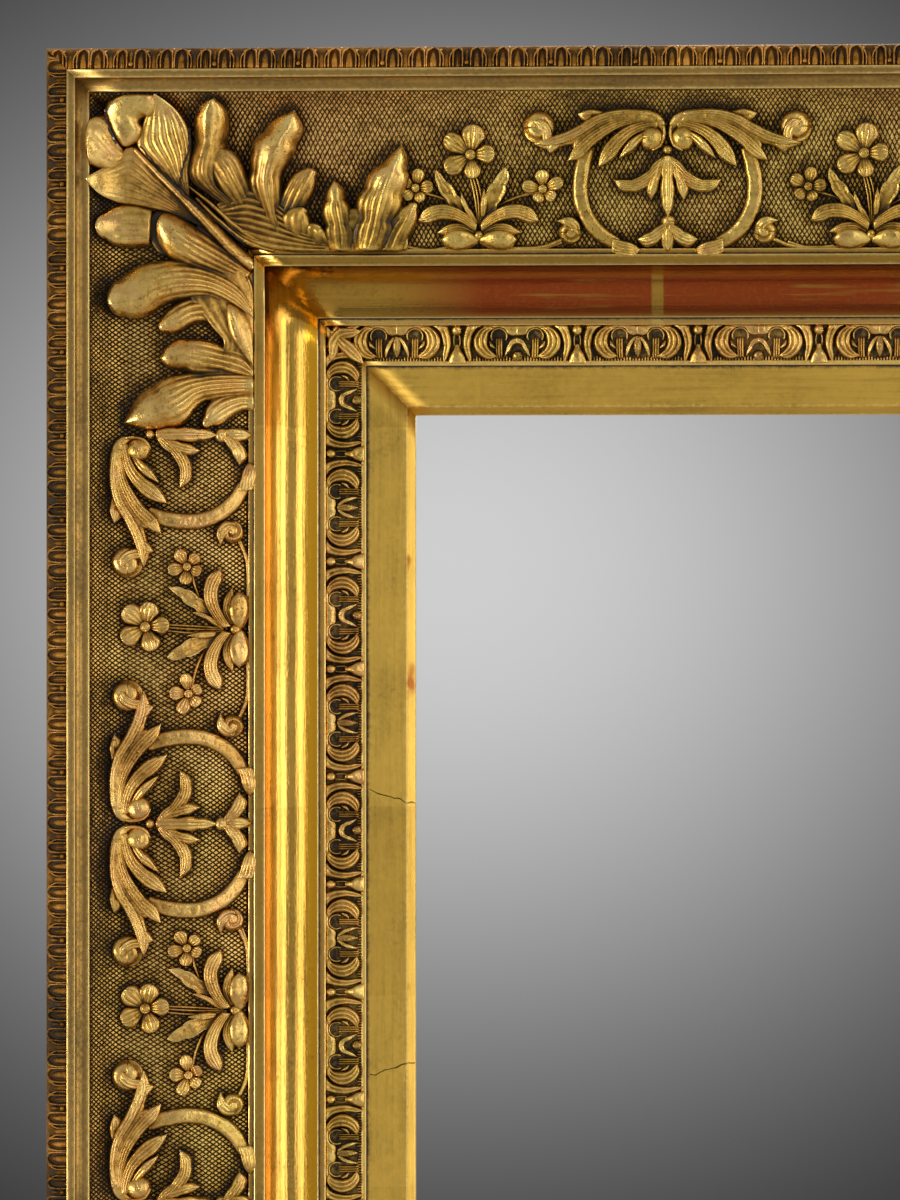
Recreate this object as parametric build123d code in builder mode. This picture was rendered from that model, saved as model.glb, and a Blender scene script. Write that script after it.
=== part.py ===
from build123d import *

import os
from dataclasses import dataclass
from math import floor

# An ornate gilded picture frame: mitred mouldings built up on a half-lapped back frame, with cast
# composition ornament glued on and the hanging and holding hardware on the back.
# Millimetres. X is right, Z is up, the front faces -Y and the wall plane is y = 0. The origin is the
# middle of the back face of the top rail. In every section u runs inward from the outer edge and
# h runs forward from the wall.

os.makedirs("parts", exist_ok=True)

# The picture that the rebate takes
picture_width = 540.0
picture_height = 650.0
picture_clearance = 3.0
rebate_lip = 8.0

# Widths of the members, from the outer edge to the sight edge
edge_leaf_width = 10.0
edge_fillet_width = 3.5
edge_cavetto_radius = 3.5
edge_bead_width = 2.0
edge_foot_width = 5.0
frieze_width = 63.5
frieze_knee_width = 17.0
cove_fillet_width = 2.5
cove_lip_width = 4.5
cove_radius = 20.5
cove_foot_width = 3.0
leaf_bed_width = 14.5
slip_fillet_width = 2.0
slip_flat_width = 17.0
sight_bevel_width = 3.5

# Heights of the members, each one stepped up from the one inside it
back_thickness = 22.0
slip_thickness = 7.0
slip_fillet_step = 1.0
leaf_bed_sink = 0.5
leaf_bed_rise = 2.5
ledge_step = 0.5
sight_bevel_drop = 3.0
cove_foot_step = 4.5
cove_quirk = 1.0
cove_lip_step = 2.0
cove_fillet_step = 2.0
frieze_fall = 10.5
frieze_rise = 9.0
knee_slope = 0.05
edge_bead_step = 2.0
edge_leaf_recess = 1.0
edge_lip_height = 4.0

# Composition ornament
glue_line = 0.15
edge_leaf_thickness = 2.5
edge_leaf_ground = 1.2
edge_leaf_pitch = 19.0
edge_leaf_gap = 3.0
sight_leaf_thickness = 4.0
sight_leaf_ground = 1.5
sight_leaf_pitch = 46.0
sight_tulip_width = 12.0
sight_heart_width = 18.0
acanthus_thickness = 5.0
acanthus_rib_thickness = 9.0
scroll_thickness = 3.5
scroll_rib_thickness = 6.0
flower_thickness = 3.5
flower_heart_thickness = 6.5
pitch_across = 159.5
pitch_up = 155.0
corner_reach = 155.0
ornament_margin = 0.8

# Pegs of the half laps
peg_radius = 5.0
peg_clearance = 0.05
peg_near = 0.3
peg_far = 0.7

# Hanging straps and their rings
strap_width = 14.0
strap_length = 30.0
strap_thickness = 1.6
strap_height_share = 0.27
strap_screw_first = 11.0
strap_screw_second = 23.0
ring_wire_radius = 1.5
ring_bore_clearance = 0.05
ring_side_play = 1.5
ring_corner_radius = 2.5
ring_leg = 26.0

# Turn buttons
button_width = 12.0
button_reach = 7.0
button_setback = 10.0
button_thickness = 1.6
button_gap = 0.1
button_bore_clearance = 0.05
button_spacing_share = 0.44

# Screws
shank_radius = 2.0
shank_length = 14.0
screw_fit = 0.02
round_head_radius = 4.0
round_head_height = 2.2
flat_head_radius = 3.4
flat_head_height = 1.3
slot_width = 0.8
slot_depth = 0.7

# Positions across the section
u_torus = edge_leaf_width
u_fillet = u_torus + edge_fillet_width
u_bead = u_fillet + edge_cavetto_radius
u_frieze = u_bead + edge_bead_width
u_side = u_frieze - edge_foot_width
u_knee = u_frieze + frieze_knee_width
u_cove = u_frieze + frieze_width
u_lip = u_cove + cove_fillet_width
u_hollow = u_lip + cove_lip_width
u_foot = u_hollow + cove_radius
u_slip = u_foot + cove_foot_width
u_slip_fillet = u_slip + leaf_bed_width
u_flat = u_slip_fillet + slip_fillet_width
u_bevel = u_flat + slip_flat_width
u_sight = u_bevel + sight_bevel_width
u_rebate = u_sight - rebate_lip

# Positions up the section
h_ledge = back_thickness + ledge_step
h_flat = back_thickness + slip_thickness
h_slip_fillet = h_flat + slip_fillet_step
h_bed_inner = h_flat - leaf_bed_sink
h_bed_outer = h_bed_inner + leaf_bed_rise
h_foot = h_bed_outer + cove_foot_step
h_cove_low = h_foot + cove_quirk
h_lip = h_cove_low + cove_radius
h_cove_fillet = h_lip - cove_lip_step
h_frieze_inner = h_cove_fillet - cove_fillet_step
h_knee = h_frieze_inner + frieze_fall
h_frieze_outer = h_knee + frieze_rise
h_bead = h_frieze_outer + edge_bead_step
h_edge = h_bead + edge_cavetto_radius
h_torus = h_edge - edge_leaf_recess - edge_leaf_width

frame_width = picture_width + 2 * picture_clearance + 2 * u_rebate
frame_height = picture_height + 2 * picture_clearance + 2 * u_rebate
z_top = (u_side + u_rebate) / 2
z_middle = z_top - frame_height / 2

FRONT = Vector(0, -1, 0)
WALL = Plane(origin=(0, 0, 0), x_dir=(1, 0, 0), z_dir=FRONT)


@dataclass
class Side:
    """One side of the frame: the middle of its outer edge, the way inward and its length."""

    name: str
    middle: Vector
    inward: Vector
    length: float
    pitch: float

    @property
    def along(self):
        return self.inward.cross(FRONT)

    @property
    def plan(self):
        return Plane(origin=self.middle, x_dir=self.along, z_dir=FRONT)

    @property
    def section(self):
        return Plane(origin=self.middle, x_dir=self.inward, z_dir=self.along)

    def mitre(self, end):
        corner = self.middle + self.along * (end * self.length / 2)
        return Plane(origin=corner, x_dir=FRONT, z_dir=self.along * -end - self.inward)


top = Side("top", Vector(0, 0, z_top), Vector(0, 0, -1), frame_width, pitch_across)
bottom = Side("bottom", Vector(0, 0, z_top - frame_height), Vector(0, 0, 1), frame_width, pitch_across)
left = Side("left", Vector(-frame_width / 2, 0, z_middle), Vector(1, 0, 0), frame_height, pitch_up)
right = Side("right", Vector(frame_width / 2, 0, z_middle), Vector(-1, 0, 0), frame_height, pitch_up)
sides = (top, bottom, left, right)
corners = {
    "top_left": (top, left, 1),
    "top_right": (top, right, -1),
    "bottom_left": (bottom, left, -1),
    "bottom_right": (bottom, right, 1),
}


def save(piece, name):
    piece.part.label = name
    export_step(piece.part, f"parts/{name}.step")


# Sections of the four mouldings and of the ornament that lies on them

def edge_section():
    bed = u_torus - edge_leaf_width + edge_leaf_thickness
    radius = u_torus - bed
    scoop = u_side - bed
    lip = h_torus - edge_lip_height
    diagonal = 0.5**0.5
    Polyline((u_frieze, h_bead), (u_frieze, back_thickness), (u_side, back_thickness), (u_side, lip - scoop))
    ThreePointArc(
        (u_side, lip - scoop),
        (bed + scoop * diagonal, lip - scoop + scoop * diagonal),
        (bed, lip),
    )
    Line((bed, lip), (bed, h_torus))
    ThreePointArc(
        (bed, h_torus),
        (u_torus - radius * diagonal, h_torus + radius * diagonal),
        (u_torus, h_torus + radius),
    )
    Polyline((u_torus, h_torus + radius), (u_torus, h_edge), (u_fillet, h_edge))
    ThreePointArc(
        (u_fillet, h_edge),
        (u_bead - edge_cavetto_radius * diagonal, h_edge - edge_cavetto_radius * diagonal),
        (u_bead, h_bead),
    )
    Line((u_bead, h_bead), (u_frieze, h_bead))


def frieze_curve(lift):
    knee = (u_knee, h_knee + lift)
    TangentArc(knee, (u_frieze, h_frieze_outer + lift), tangent=(-1, knee_slope))
    TangentArc(knee, (u_cove, h_frieze_inner + lift), tangent=(1, -knee_slope))


def frieze_section():
    frieze_curve(0)
    Polyline(
        (u_cove, h_frieze_inner),
        (u_cove, back_thickness),
        (u_frieze, back_thickness),
        (u_frieze, h_frieze_outer),
    )


def cove_section():
    diagonal = 0.5**0.5
    Polyline(
        (u_foot, h_cove_low),
        (u_foot, h_foot),
        (u_slip, h_foot),
        (u_slip, back_thickness),
        (u_cove, back_thickness),
        (u_cove, h_cove_fillet),
        (u_lip, h_cove_fillet),
        (u_lip, h_lip),
        (u_hollow, h_lip),
    )
    ThreePointArc(
        (u_hollow, h_lip),
        (u_foot - cove_radius * diagonal, h_lip - cove_radius * diagonal),
        (u_foot, h_cove_low),
    )


def slip_section():
    Polyline(
        (u_slip, back_thickness),
        (u_rebate, back_thickness),
        (u_rebate, h_ledge),
        (u_sight, h_ledge),
        (u_sight, h_flat - sight_bevel_drop),
        (u_bevel, h_flat),
        (u_flat, h_flat),
        (u_flat, h_slip_fillet),
        (u_slip_fillet, h_slip_fillet),
        (u_slip_fillet, h_bed_inner),
        (u_slip, h_bed_outer),
        close=True,
    )


def frieze_skin(thickness):
    def section():
        frieze_curve(glue_line)
        frieze_curve(thickness)
        Line((u_frieze, h_frieze_outer + glue_line), (u_frieze, h_frieze_outer + thickness))
        Line((u_cove, h_frieze_inner + glue_line), (u_cove, h_frieze_inner + thickness))

    return section


def edge_leaf_skin(thickness):
    def section():
        diagonal = 0.5**0.5
        low = edge_leaf_width - edge_leaf_thickness + glue_line
        high = edge_leaf_width - edge_leaf_thickness + thickness
        end = u_torus - glue_line
        for radius in (low, high):
            ThreePointArc(
                (end - radius, h_torus),
                (end - radius * diagonal, h_torus + radius * diagonal),
                (end, h_torus + radius),
            )
        Line((end - low, h_torus), (end - high, h_torus))
        Line((end, h_torus + low), (end, h_torus + high))

    return section


def sight_leaf_bed(rise):
    return (
        (u_slip + glue_line, h_bed_outer + rise),
        (u_slip_fillet - glue_line, h_bed_inner + rise),
    )


def sight_ground_skin():
    low_outer, low_inner = sight_leaf_bed(glue_line)
    high_outer, high_inner = sight_leaf_bed(sight_leaf_ground)
    Polyline(low_outer, low_inner, high_inner, high_outer, close=True)


def sight_leaf_skin():
    low_outer, low_inner = sight_leaf_bed(glue_line)
    high_outer, high_inner = sight_leaf_bed(sight_leaf_ground)
    crest = ((u_slip + u_slip_fillet) / 2, (h_bed_inner + h_bed_outer) / 2 + sight_leaf_thickness)
    Polyline(high_outer, low_outer, low_inner, high_inner)
    ThreePointArc(high_inner, crest, high_outer)


def mitred(side, section):
    """A length of one section along a side, cut to 45 degrees at both ends."""
    with BuildPart() as length:
        with BuildSketch(side.section):
            with BuildLine():
                section()
            make_face()
        extrude(amount=side.length / 2, both=True)
        for end in (-1, 1):
            split(bisect_by=side.mitre(end), keep=Keep.TOP)
    return length


def relief(plan, outline, skin):
    """The part of a skin that lies inside an outline drawn in plan."""
    with BuildPart() as piece:
        with BuildSketch(plan):
            outline()
        extrude(amount=2 * h_edge)
        add(skin, mode=Mode.INTERSECT)
    return piece


def joined(*layers):
    with BuildPart() as piece:
        for layer in layers:
            add(layer.part)
    return piece


def leaf(base, tip, width):
    """A pointed leaf between two points, as one face of the open sketch."""
    start = Vector(*base)
    end = Vector(*tip)
    across = (end - start).rotate(Axis.Z, 90).normalized() * (width / 2)
    middle = (start + end) / 2
    with BuildLine() as edges:
        ThreePointArc(start, middle + across, end)
        ThreePointArc(end, middle - across, start)
    make_face(edges.edges())


# Back frame: two rails with their front half cut away at the ends, two stiles with the back half

def corner_point(x_sign, z_sign, from_side, from_end):
    return (
        x_sign * (frame_width / 2 - from_side),
        z_middle + z_sign * (frame_height / 2 - from_end),
    )


board_width = u_rebate - u_side
near = u_side + peg_near * board_width
far = u_side + peg_far * board_width
peg_points = [
    corner_point(x_sign, z_sign, from_side, from_end)
    for x_sign in (-1, 1)
    for z_sign in (-1, 1)
    for from_side, from_end in ((near, near), (far, far), (near, far), (far, near))
]
strap_x = frame_width / 2 - (u_side + u_rebate) / 2
strap_z = z_top - strap_height_share * frame_height
strap_screw_points = [
    (x_sign * strap_x, strap_z - drop)
    for x_sign in (-1, 1)
    for drop in (strap_screw_first, strap_screw_second)
]
button_x = frame_width / 2 - u_rebate + button_setback
button_rise = button_spacing_share * frame_height / 2
button_points = {
    "upper_left": (-button_x, z_middle + button_rise),
    "upper_right": (button_x, z_middle + button_rise),
    "lower_left": (-button_x, z_middle - button_rise),
    "lower_right": (button_x, z_middle - button_rise),
}


def back_board(side, lap_from, pilot_points=()):
    length = side.length - 2 * u_side
    middle = (u_side + u_rebate) / 2
    with BuildPart() as board:
        with BuildSketch(side.plan):
            with Locations((0, middle)):
                Rectangle(length, board_width)
        extrude(amount=back_thickness)
        with BuildSketch(side.plan.offset(lap_from)):
            for end in (-1, 1):
                with Locations((end * (length - board_width) / 2, middle)):
                    Rectangle(board_width, board_width)
        extrude(amount=back_thickness / 2, mode=Mode.SUBTRACT)
        with BuildSketch(WALL):
            with Locations(*peg_points):
                Circle(peg_radius + peg_clearance)
        extrude(amount=back_thickness, mode=Mode.SUBTRACT)
        if pilot_points:
            with BuildSketch(WALL):
                with Locations(*pilot_points):
                    Circle(shank_radius + screw_fit)
            extrude(amount=shank_length, mode=Mode.SUBTRACT)
    return board


for side in (top, bottom):
    save(back_board(side, back_thickness / 2), f"back_rail_{side.name}")
for side in (left, right):
    save(back_board(side, 0, (*strap_screw_points, *button_points.values())), f"back_stile_{side.name}")

with BuildPart() as lap_pegs:
    with BuildSketch(WALL):
        with Locations(*peg_points):
            Circle(peg_radius)
    extrude(amount=back_thickness)
save(lap_pegs, "lap_pegs")

# Mouldings

for side in sides:
    save(mitred(side, edge_section), f"edge_moulding_{side.name}")
    save(mitred(side, frieze_section), f"frieze_moulding_{side.name}")
    save(mitred(side, cove_section), f"cove_moulding_{side.name}")
    save(mitred(side, slip_section), f"slip_moulding_{side.name}")

# Leaf runs on the outer edge and beside the sight

def evenly(reach, pitch):
    """Places along a side at one pitch, centred on the side."""
    count = 2 * floor(reach / pitch) + 1
    return [(i - count // 2) * pitch for i in range(count)]


def tongue(s, outer, inner, width):
    """A blunt leaf tip with straight edges, lying across a run."""
    third = (inner - outer) / 3
    with Locations((s, 0)):
        Polygon(
            (-width / 2, inner),
            (-width / 2, outer + third),
            (-width / 4, outer),
            (width / 4, outer),
            (width / 2, outer + third),
            (width / 2, inner),
            align=None,
        )


def edge_leaf_run(side):
    def tips():
        for s in evenly(side.length / 2 - edge_leaf_width - edge_leaf_pitch / 2, edge_leaf_pitch):
            tongue(s, 0, edge_leaf_width, edge_leaf_pitch - edge_leaf_gap)

    ground = mitred(side, edge_leaf_skin(edge_leaf_ground))
    raised = relief(side.plan, tips, mitred(side, edge_leaf_skin(edge_leaf_thickness)).part)
    return joined(ground, raised)


def sight_leaf_run(side):
    run = side.length - 2 * u_slip_fillet
    outer = u_slip + ornament_margin
    inner = u_slip_fillet - ornament_margin

    def strip():
        with Locations((0, (outer + inner) / 2)):
            Rectangle(run - 2 * glue_line, leaf_bed_width)

    def leaves():
        for s in evenly(run / 2 - sight_leaf_pitch / 4, sight_leaf_pitch):
            tongue(s, outer, inner, sight_tulip_width)
        for s in evenly(run / 2 - sight_leaf_pitch * 0.8, sight_leaf_pitch):
            for shift in (-0.5, 0.5):
                tongue(s + shift * sight_leaf_pitch, outer, inner, sight_heart_width)

    ground = relief(side.plan, strip, mitred(side, sight_ground_skin).part)
    raised = relief(side.plan, leaves, mitred(side, sight_leaf_skin).part)
    return joined(ground, raised)


for side in sides:
    save(edge_leaf_run(side), f"edge_leaf_run_{side.name}")
    save(sight_leaf_run(side), f"sight_leaf_run_{side.name}")


def sight_corner_leaf(across, upright, across_end):
    def square():
        middle = (u_slip + u_slip_fillet) / 2
        with Locations((across_end * (across.length / 2 - middle), middle)):
            Rectangle(leaf_bed_width, leaf_bed_width)

    pair = joined(mitred(across, sight_leaf_skin), mitred(upright, sight_leaf_skin))
    return relief(across.plan, square, pair.part)


with BuildPart() as sight_corner_leaves:
    for across, upright, across_end in corners.values():
        add(sight_corner_leaf(across, upright, across_end).part)
save(sight_corner_leaves, "sight_corner_leaves")

# Ornament of the frieze: a lobed acanthus leaf over each corner, then scrolls and sprays by turns

lobes = (
    ((44, 44), (46, 24), 18),
    ((50, 48), (67, 25), 22),
    ((58, 54), (103, 29), 26),
    ((66, 64), (112, 54), 22),
    ((70, 68), (148, 40), 26),
    ((76, 74), (150, 70), 18),
)
stem = ((24, 24), (84, 84), 34)


def corner_acanthus(across, upright, across_end):
    def leaves(share):
        def outline():
            def place(point):
                return (across_end * (across.length / 2 - point[0]), point[1])

            leaf(place(stem[0]), place(stem[1]), stem[2] * share)
            for base, tip, width in lobes:
                leaf(place(base), place(tip), width * share)
                leaf(place(base[::-1]), place(tip[::-1]), width * share)

        return outline

    layers = []
    for share, thickness in ((1.0, acanthus_thickness), (0.35, acanthus_rib_thickness)):
        skin = frieze_skin(thickness)
        pair = joined(mitred(across, skin), mitred(upright, skin))
        layers.append(relief(across.plan, leaves(share), pair.part))
    return joined(*layers)


for name, (across, upright, across_end) in corners.items():
    save(corner_acanthus(across, upright, across_end), f"corner_acanthus_{name}")


def scrollwork(s):
    """One cartouche: two C-scrolls as a horseshoe, their curls, and a palmette between them."""
    with Locations((s, u_frieze + 37)):
        Circle(36)
        Circle(28, mode=Mode.SUBTRACT)
    leaf((s, u_frieze + 5), (s, u_frieze + 62), 18)
    for hand in (-1, 1):
        leaf((s + hand * 4, u_frieze + 60), (s + hand * 17, u_frieze + 22), 12)
        leaf((s + hand * 20, u_frieze + 8), (s + hand * 58, u_frieze + 17), 12)
        with Locations((s + hand * 52, u_frieze + 16)):
            Circle(7)


def scroll_ribs(s):
    with Locations((s, u_frieze + 37)):
        Circle(33.5)
        Circle(30.5, mode=Mode.SUBTRACT)
    leaf((s, u_frieze + 7), (s, u_frieze + 60), 8)
    for hand in (-1, 1):
        with Locations((s + hand * 52, u_frieze + 16)):
            Circle(4)


def spray(s):
    """One flower spray: a five-petalled flower on a stem, two buds and the leaves at its foot."""
    flower = (s, u_frieze + 24)
    with Locations(flower):
        Circle(6)
        with PolarLocations(7.5, 5, start_angle=-90):
            Circle(5.2)
    leaf((s, u_frieze + 26), (s, u_frieze + 62), 8)
    for hand in (-1, 1):
        leaf((s, u_frieze + 58), (s + hand * 29, u_frieze + 38), 7)
        leaf((s, u_frieze + 60), (s + hand * 24, u_frieze + 58), 8)
        with Locations((s + hand * 27, u_frieze + 38)):
            Circle(5)


def spray_hearts(s):
    with Locations((s, u_frieze + 24)):
        Circle(3)
    for hand in (-1, 1):
        with Locations((s + hand * 27, u_frieze + 38)):
            Circle(2.5)


def frieze_run(side, places, levels):
    """One kind of ornament along a side, kept clear of the corner leaves and of its own ends."""
    reach = side.length - 2 * corner_reach
    middle = u_frieze + frieze_width / 2

    def outline(draw):
        def shapes():
            for s in places:
                draw(s)
            with Locations((0, middle)):
                Rectangle(reach, frieze_width - 2 * ornament_margin, mode=Mode.INTERSECT)

        return shapes

    layers = []
    for draw, thickness in levels:
        layers.append(relief(side.plan, outline(draw), mitred(side, frieze_skin(thickness)).part))
    return joined(*layers)


for side in sides:
    reach = side.length / 2 - corner_reach
    scroll_places = evenly(reach, side.pitch)
    spray_places = [
        hand * (i + 0.5) * side.pitch for i in range(floor(reach / side.pitch + 0.5)) for hand in (-1, 1)
    ]
    scroll_levels = ((scrollwork, scroll_thickness), (scroll_ribs, scroll_rib_thickness))
    spray_levels = ((spray, flower_thickness), (spray_hearts, flower_heart_thickness))
    save(frieze_run(side, scroll_places, scroll_levels), f"scroll_cartouches_{side.name}")
    save(frieze_run(side, spray_places, spray_levels), f"flower_sprays_{side.name}")

# Hanging straps: a plate on the stile whose upper end is curled round the bar of the ring

eye_bore = ring_wire_radius + ring_bore_clearance
eye_radius = eye_bore + strap_thickness
ring_half = strap_width / 2 + ring_side_play + ring_wire_radius


def turned(x, z, section):
    """A body turned about an axis that stands on the back at one point."""
    with BuildPart() as body:
        with BuildSketch(Plane(origin=(x, 0, z), x_dir=(1, 0, 0), z_dir=(0, 0, 1))):
            with BuildLine():
                section()
            make_face()
        revolve(axis=Axis((x, 0, z), (0, 1, 0)))
    return body


def flat_head_screw(slack=0):
    Polyline(
        (0, -shank_length),
        (shank_radius + slack, -shank_length),
        (shank_radius + slack, strap_thickness - flat_head_height),
        (flat_head_radius + slack, strap_thickness),
        (0, strap_thickness),
        close=True,
    )


def round_head_screw():
    seat = button_thickness + 2 * button_gap
    Polyline(
        (0, -shank_length),
        (shank_radius, -shank_length),
        (shank_radius, seat),
        (round_head_radius, seat),
        (round_head_radius, seat + round_head_height / 2),
        (round_head_radius * 0.6, seat + round_head_height),
        (0, seat + round_head_height),
        close=True,
    )


def screws(points, section, head_radius, head_top):
    with BuildPart() as group:
        for x, z in points:
            add(turned(x, z, section).part)
        with BuildSketch(WALL.offset(-head_top)):
            with Locations(*points):
                Rectangle(2 * head_radius + 1, slot_width)
        extrude(amount=slot_depth, mode=Mode.SUBTRACT)
    return group


def hanger_strap(x):
    with BuildPart() as strap:
        with BuildSketch(Plane(origin=(x - strap_width / 2, 0, strap_z), x_dir=(0, 1, 0), z_dir=(1, 0, 0))):
            with Locations((eye_radius, 0)):
                Circle(eye_radius)
            with Locations((strap_thickness / 2, -strap_length / 2)):
                Rectangle(strap_thickness, strap_length)
            with Locations((eye_radius, 0)):
                Circle(eye_bore, mode=Mode.SUBTRACT)
        extrude(amount=strap_width)
        for drop in (strap_screw_first, strap_screw_second):
            add(turned(x, strap_z - drop, lambda: flat_head_screw(screw_fit)).part, mode=Mode.SUBTRACT)
    return strap


def hanger_ring(x):
    bar = ring_half - ring_corner_radius
    turn = ring_corner_radius * (1 - 0.5**0.5)
    with BuildPart() as ring:
        with BuildLine(Plane(origin=(x, eye_radius, strap_z), x_dir=(1, 0, 0), z_dir=FRONT)):
            Line((0, 0), (bar, 0))
            ThreePointArc((bar, 0), (ring_half - turn, -turn), (ring_half, -ring_corner_radius))
            Line((ring_half, -ring_corner_radius), (ring_half, -ring_leg))
            ThreePointArc((ring_half, -ring_leg), (0, -ring_leg - ring_half), (-ring_half, -ring_leg))
            Line((-ring_half, -ring_leg), (-ring_half, -ring_corner_radius))
            ThreePointArc((-ring_half, -ring_corner_radius), (turn - ring_half, -turn), (-bar, 0))
            Line((-bar, 0), (0, 0))
        with BuildSketch(Plane(origin=(x, eye_radius, strap_z), z_dir=(1, 0, 0))):
            Circle(ring_wire_radius)
        sweep()
    return ring


for name, x in (("left", -strap_x), ("right", strap_x)):
    save(hanger_strap(x), f"hanger_strap_{name}")
    save(hanger_ring(x), f"hanger_ring_{name}")
save(screws(strap_screw_points, flat_head_screw, flat_head_radius, strap_thickness), "hanger_screws")

# Turn buttons: parked along the stile with the long end down, clear of the rebate


def turn_button(x, z):
    length = button_setback + button_reach - button_width / 2
    with BuildPart() as button:
        with BuildSketch(WALL.offset(-button_gap)):
            with Locations((x, z - length / 2)):
                SlotCenterToCenter(length, button_width, rotation=90)
            with Locations((x, z)):
                Circle(shank_radius + button_bore_clearance, mode=Mode.SUBTRACT)
        extrude(amount=-button_thickness)
    return button


for name, (x, z) in button_points.items():
    save(turn_button(x, z), f"turn_button_{name}")
button_head_top = button_thickness + 2 * button_gap + round_head_height
save(
    screws(list(button_points.values()), round_head_screw, round_head_radius, button_head_top),
    "turn_button_screws",
)
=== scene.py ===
import math

import bmesh
import bpy
import numpy as np
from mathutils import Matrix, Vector


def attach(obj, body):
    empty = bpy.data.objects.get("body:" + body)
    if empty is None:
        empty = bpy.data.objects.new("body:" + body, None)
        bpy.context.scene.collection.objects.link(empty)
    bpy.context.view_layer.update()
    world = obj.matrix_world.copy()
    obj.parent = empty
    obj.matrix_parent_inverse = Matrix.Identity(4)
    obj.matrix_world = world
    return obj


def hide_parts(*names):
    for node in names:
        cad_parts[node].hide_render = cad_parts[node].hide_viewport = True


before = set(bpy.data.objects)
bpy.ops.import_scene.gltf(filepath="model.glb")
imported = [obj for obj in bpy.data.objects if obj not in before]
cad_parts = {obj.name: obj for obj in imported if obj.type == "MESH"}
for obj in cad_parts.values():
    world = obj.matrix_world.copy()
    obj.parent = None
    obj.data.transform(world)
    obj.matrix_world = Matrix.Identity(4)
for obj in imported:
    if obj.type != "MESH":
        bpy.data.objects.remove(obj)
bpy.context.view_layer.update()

# Sizes in millimetres, in the frame of the solids. u runs inwards from the outer edge, h forwards from
# the wall, s along a side from its middle.
HALF_X = 415.0
TOP_Z = 78.0
BOTTOM_Z = -862.0
MID_Z = (TOP_Z + BOTTOM_Z) / 2
HALF_Z = (TOP_Z - BOTTOM_Z) / 2
SIDES = ("top", "bottom", "left", "right")
# Places along a side of the cartouches, of the half cartouches at its ends, and of the sprays.
CARTOUCHES = {"top": (-159.6, 0, 159.6), "left": (-151, 5, 157)}
HALVES = {"top": (), "left": (-311, 311)}
SPRAYS = {"top": (-237.1, -76.3, 76.3, 237.1), "left": (-230.8, -73.9, 79.5, 234)}
HALF = {"top": HALF_X, "bottom": HALF_X, "left": HALF_Z, "right": HALF_Z}
LIKE = {"top": "top", "bottom": "top", "left": "left", "right": "left"}
# Corners, as whether they are on the right and whether they are low.
CORNERS = {"top_left": (False, False), "top_right": (True, False), "bottom_left": (False, True),
           "bottom_right": (True, True)}
# Sides whose plan is turned over when it is placed, so that its faces are turned back.
TURNED = {"top": False, "bottom": True, "left": True, "right": False}
# Profile of the frieze: its knee and the slope there, and its two ends.
KNEE = (36.0, 63.5, -0.05)
FRIEZE_OUTER = (19.0, 72.5)
FRIEZE_INNER = (82.5, 53.0)
# The outer run: the middle and radius of the round that carries it, its girth and its repeat.
TORUS = (10.0, 67.0)
TORUS_BED = 8.0
RUN_ACROSS = 15.2
EDGE_REPEAT = 34.4
# The bed of the sight run, as the ends of its slope, the repeat, and how much darker it is made.
SIGHT_BED = ((113.0, 31.0), (127.5, 28.5))
SIGHT_REPEAT = 48.4
SIGHT_BED_DARK = -0.42
# The first tulip of a sight run, its repeat and the unit it begins with, which differ from side to side.
SIGHT_RUN = {"top": (-247.5, 50.1, 0), "left": (-303.8, 44.8, 1)}


# Shapes

def tangent_circle(end):
    """Middle and radius of the circle that leaves the knee along its slope and ends at a point."""
    run = np.array([1.0, KNEE[2]]) / math.hypot(1.0, KNEE[2])
    normal = np.array([-run[1], run[0]])
    reach = np.array(end) - KNEE[:2]
    radius = reach @ reach / (2 * reach @ normal)
    return np.array(KNEE[:2]) + normal * radius, radius


OUTER_ARC = tangent_circle(FRIEZE_OUTER)
INNER_ARC = tangent_circle(FRIEZE_INNER)


def frieze(u):
    """Height of the frieze ground."""
    def on(middle, radius):
        return middle[1] - np.sign(radius) * np.sqrt(np.maximum(radius**2 - (u - middle[0]) ** 2, 0))

    u = np.clip(u, FRIEZE_OUTER[0], FRIEZE_INNER[0])
    return np.where(u < KNEE[0], on(*OUTER_ARC), on(*INNER_ARC))


def place(side, s, u, h):
    """Points of a side, from plan places to metres in the frame of the solids."""
    if side in ("top", "bottom"):
        x, z = s, TOP_Z - u if side == "top" else BOTTOM_Z + u
    else:
        x, z = (u - HALF_X if side == "left" else HALF_X - u), MID_Z - s
    return np.stack([x, -h, z], axis=-1) / 1000


def places(words):
    """Numbers from words such as 1.5,2 that stand for places along a path."""
    return [tuple(float(n) for n in word.split(",")) for word in words.split()]


def place_corner(right, low, x, y, h):
    """Points of a corner, from places x inwards and y up or down from the outer corner to metres."""
    return np.stack([HALF_X - x if right else x - HALF_X, -h, BOTTOM_Z + y if low else TOP_Z - y],
                    axis=-1) / 1000


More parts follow.
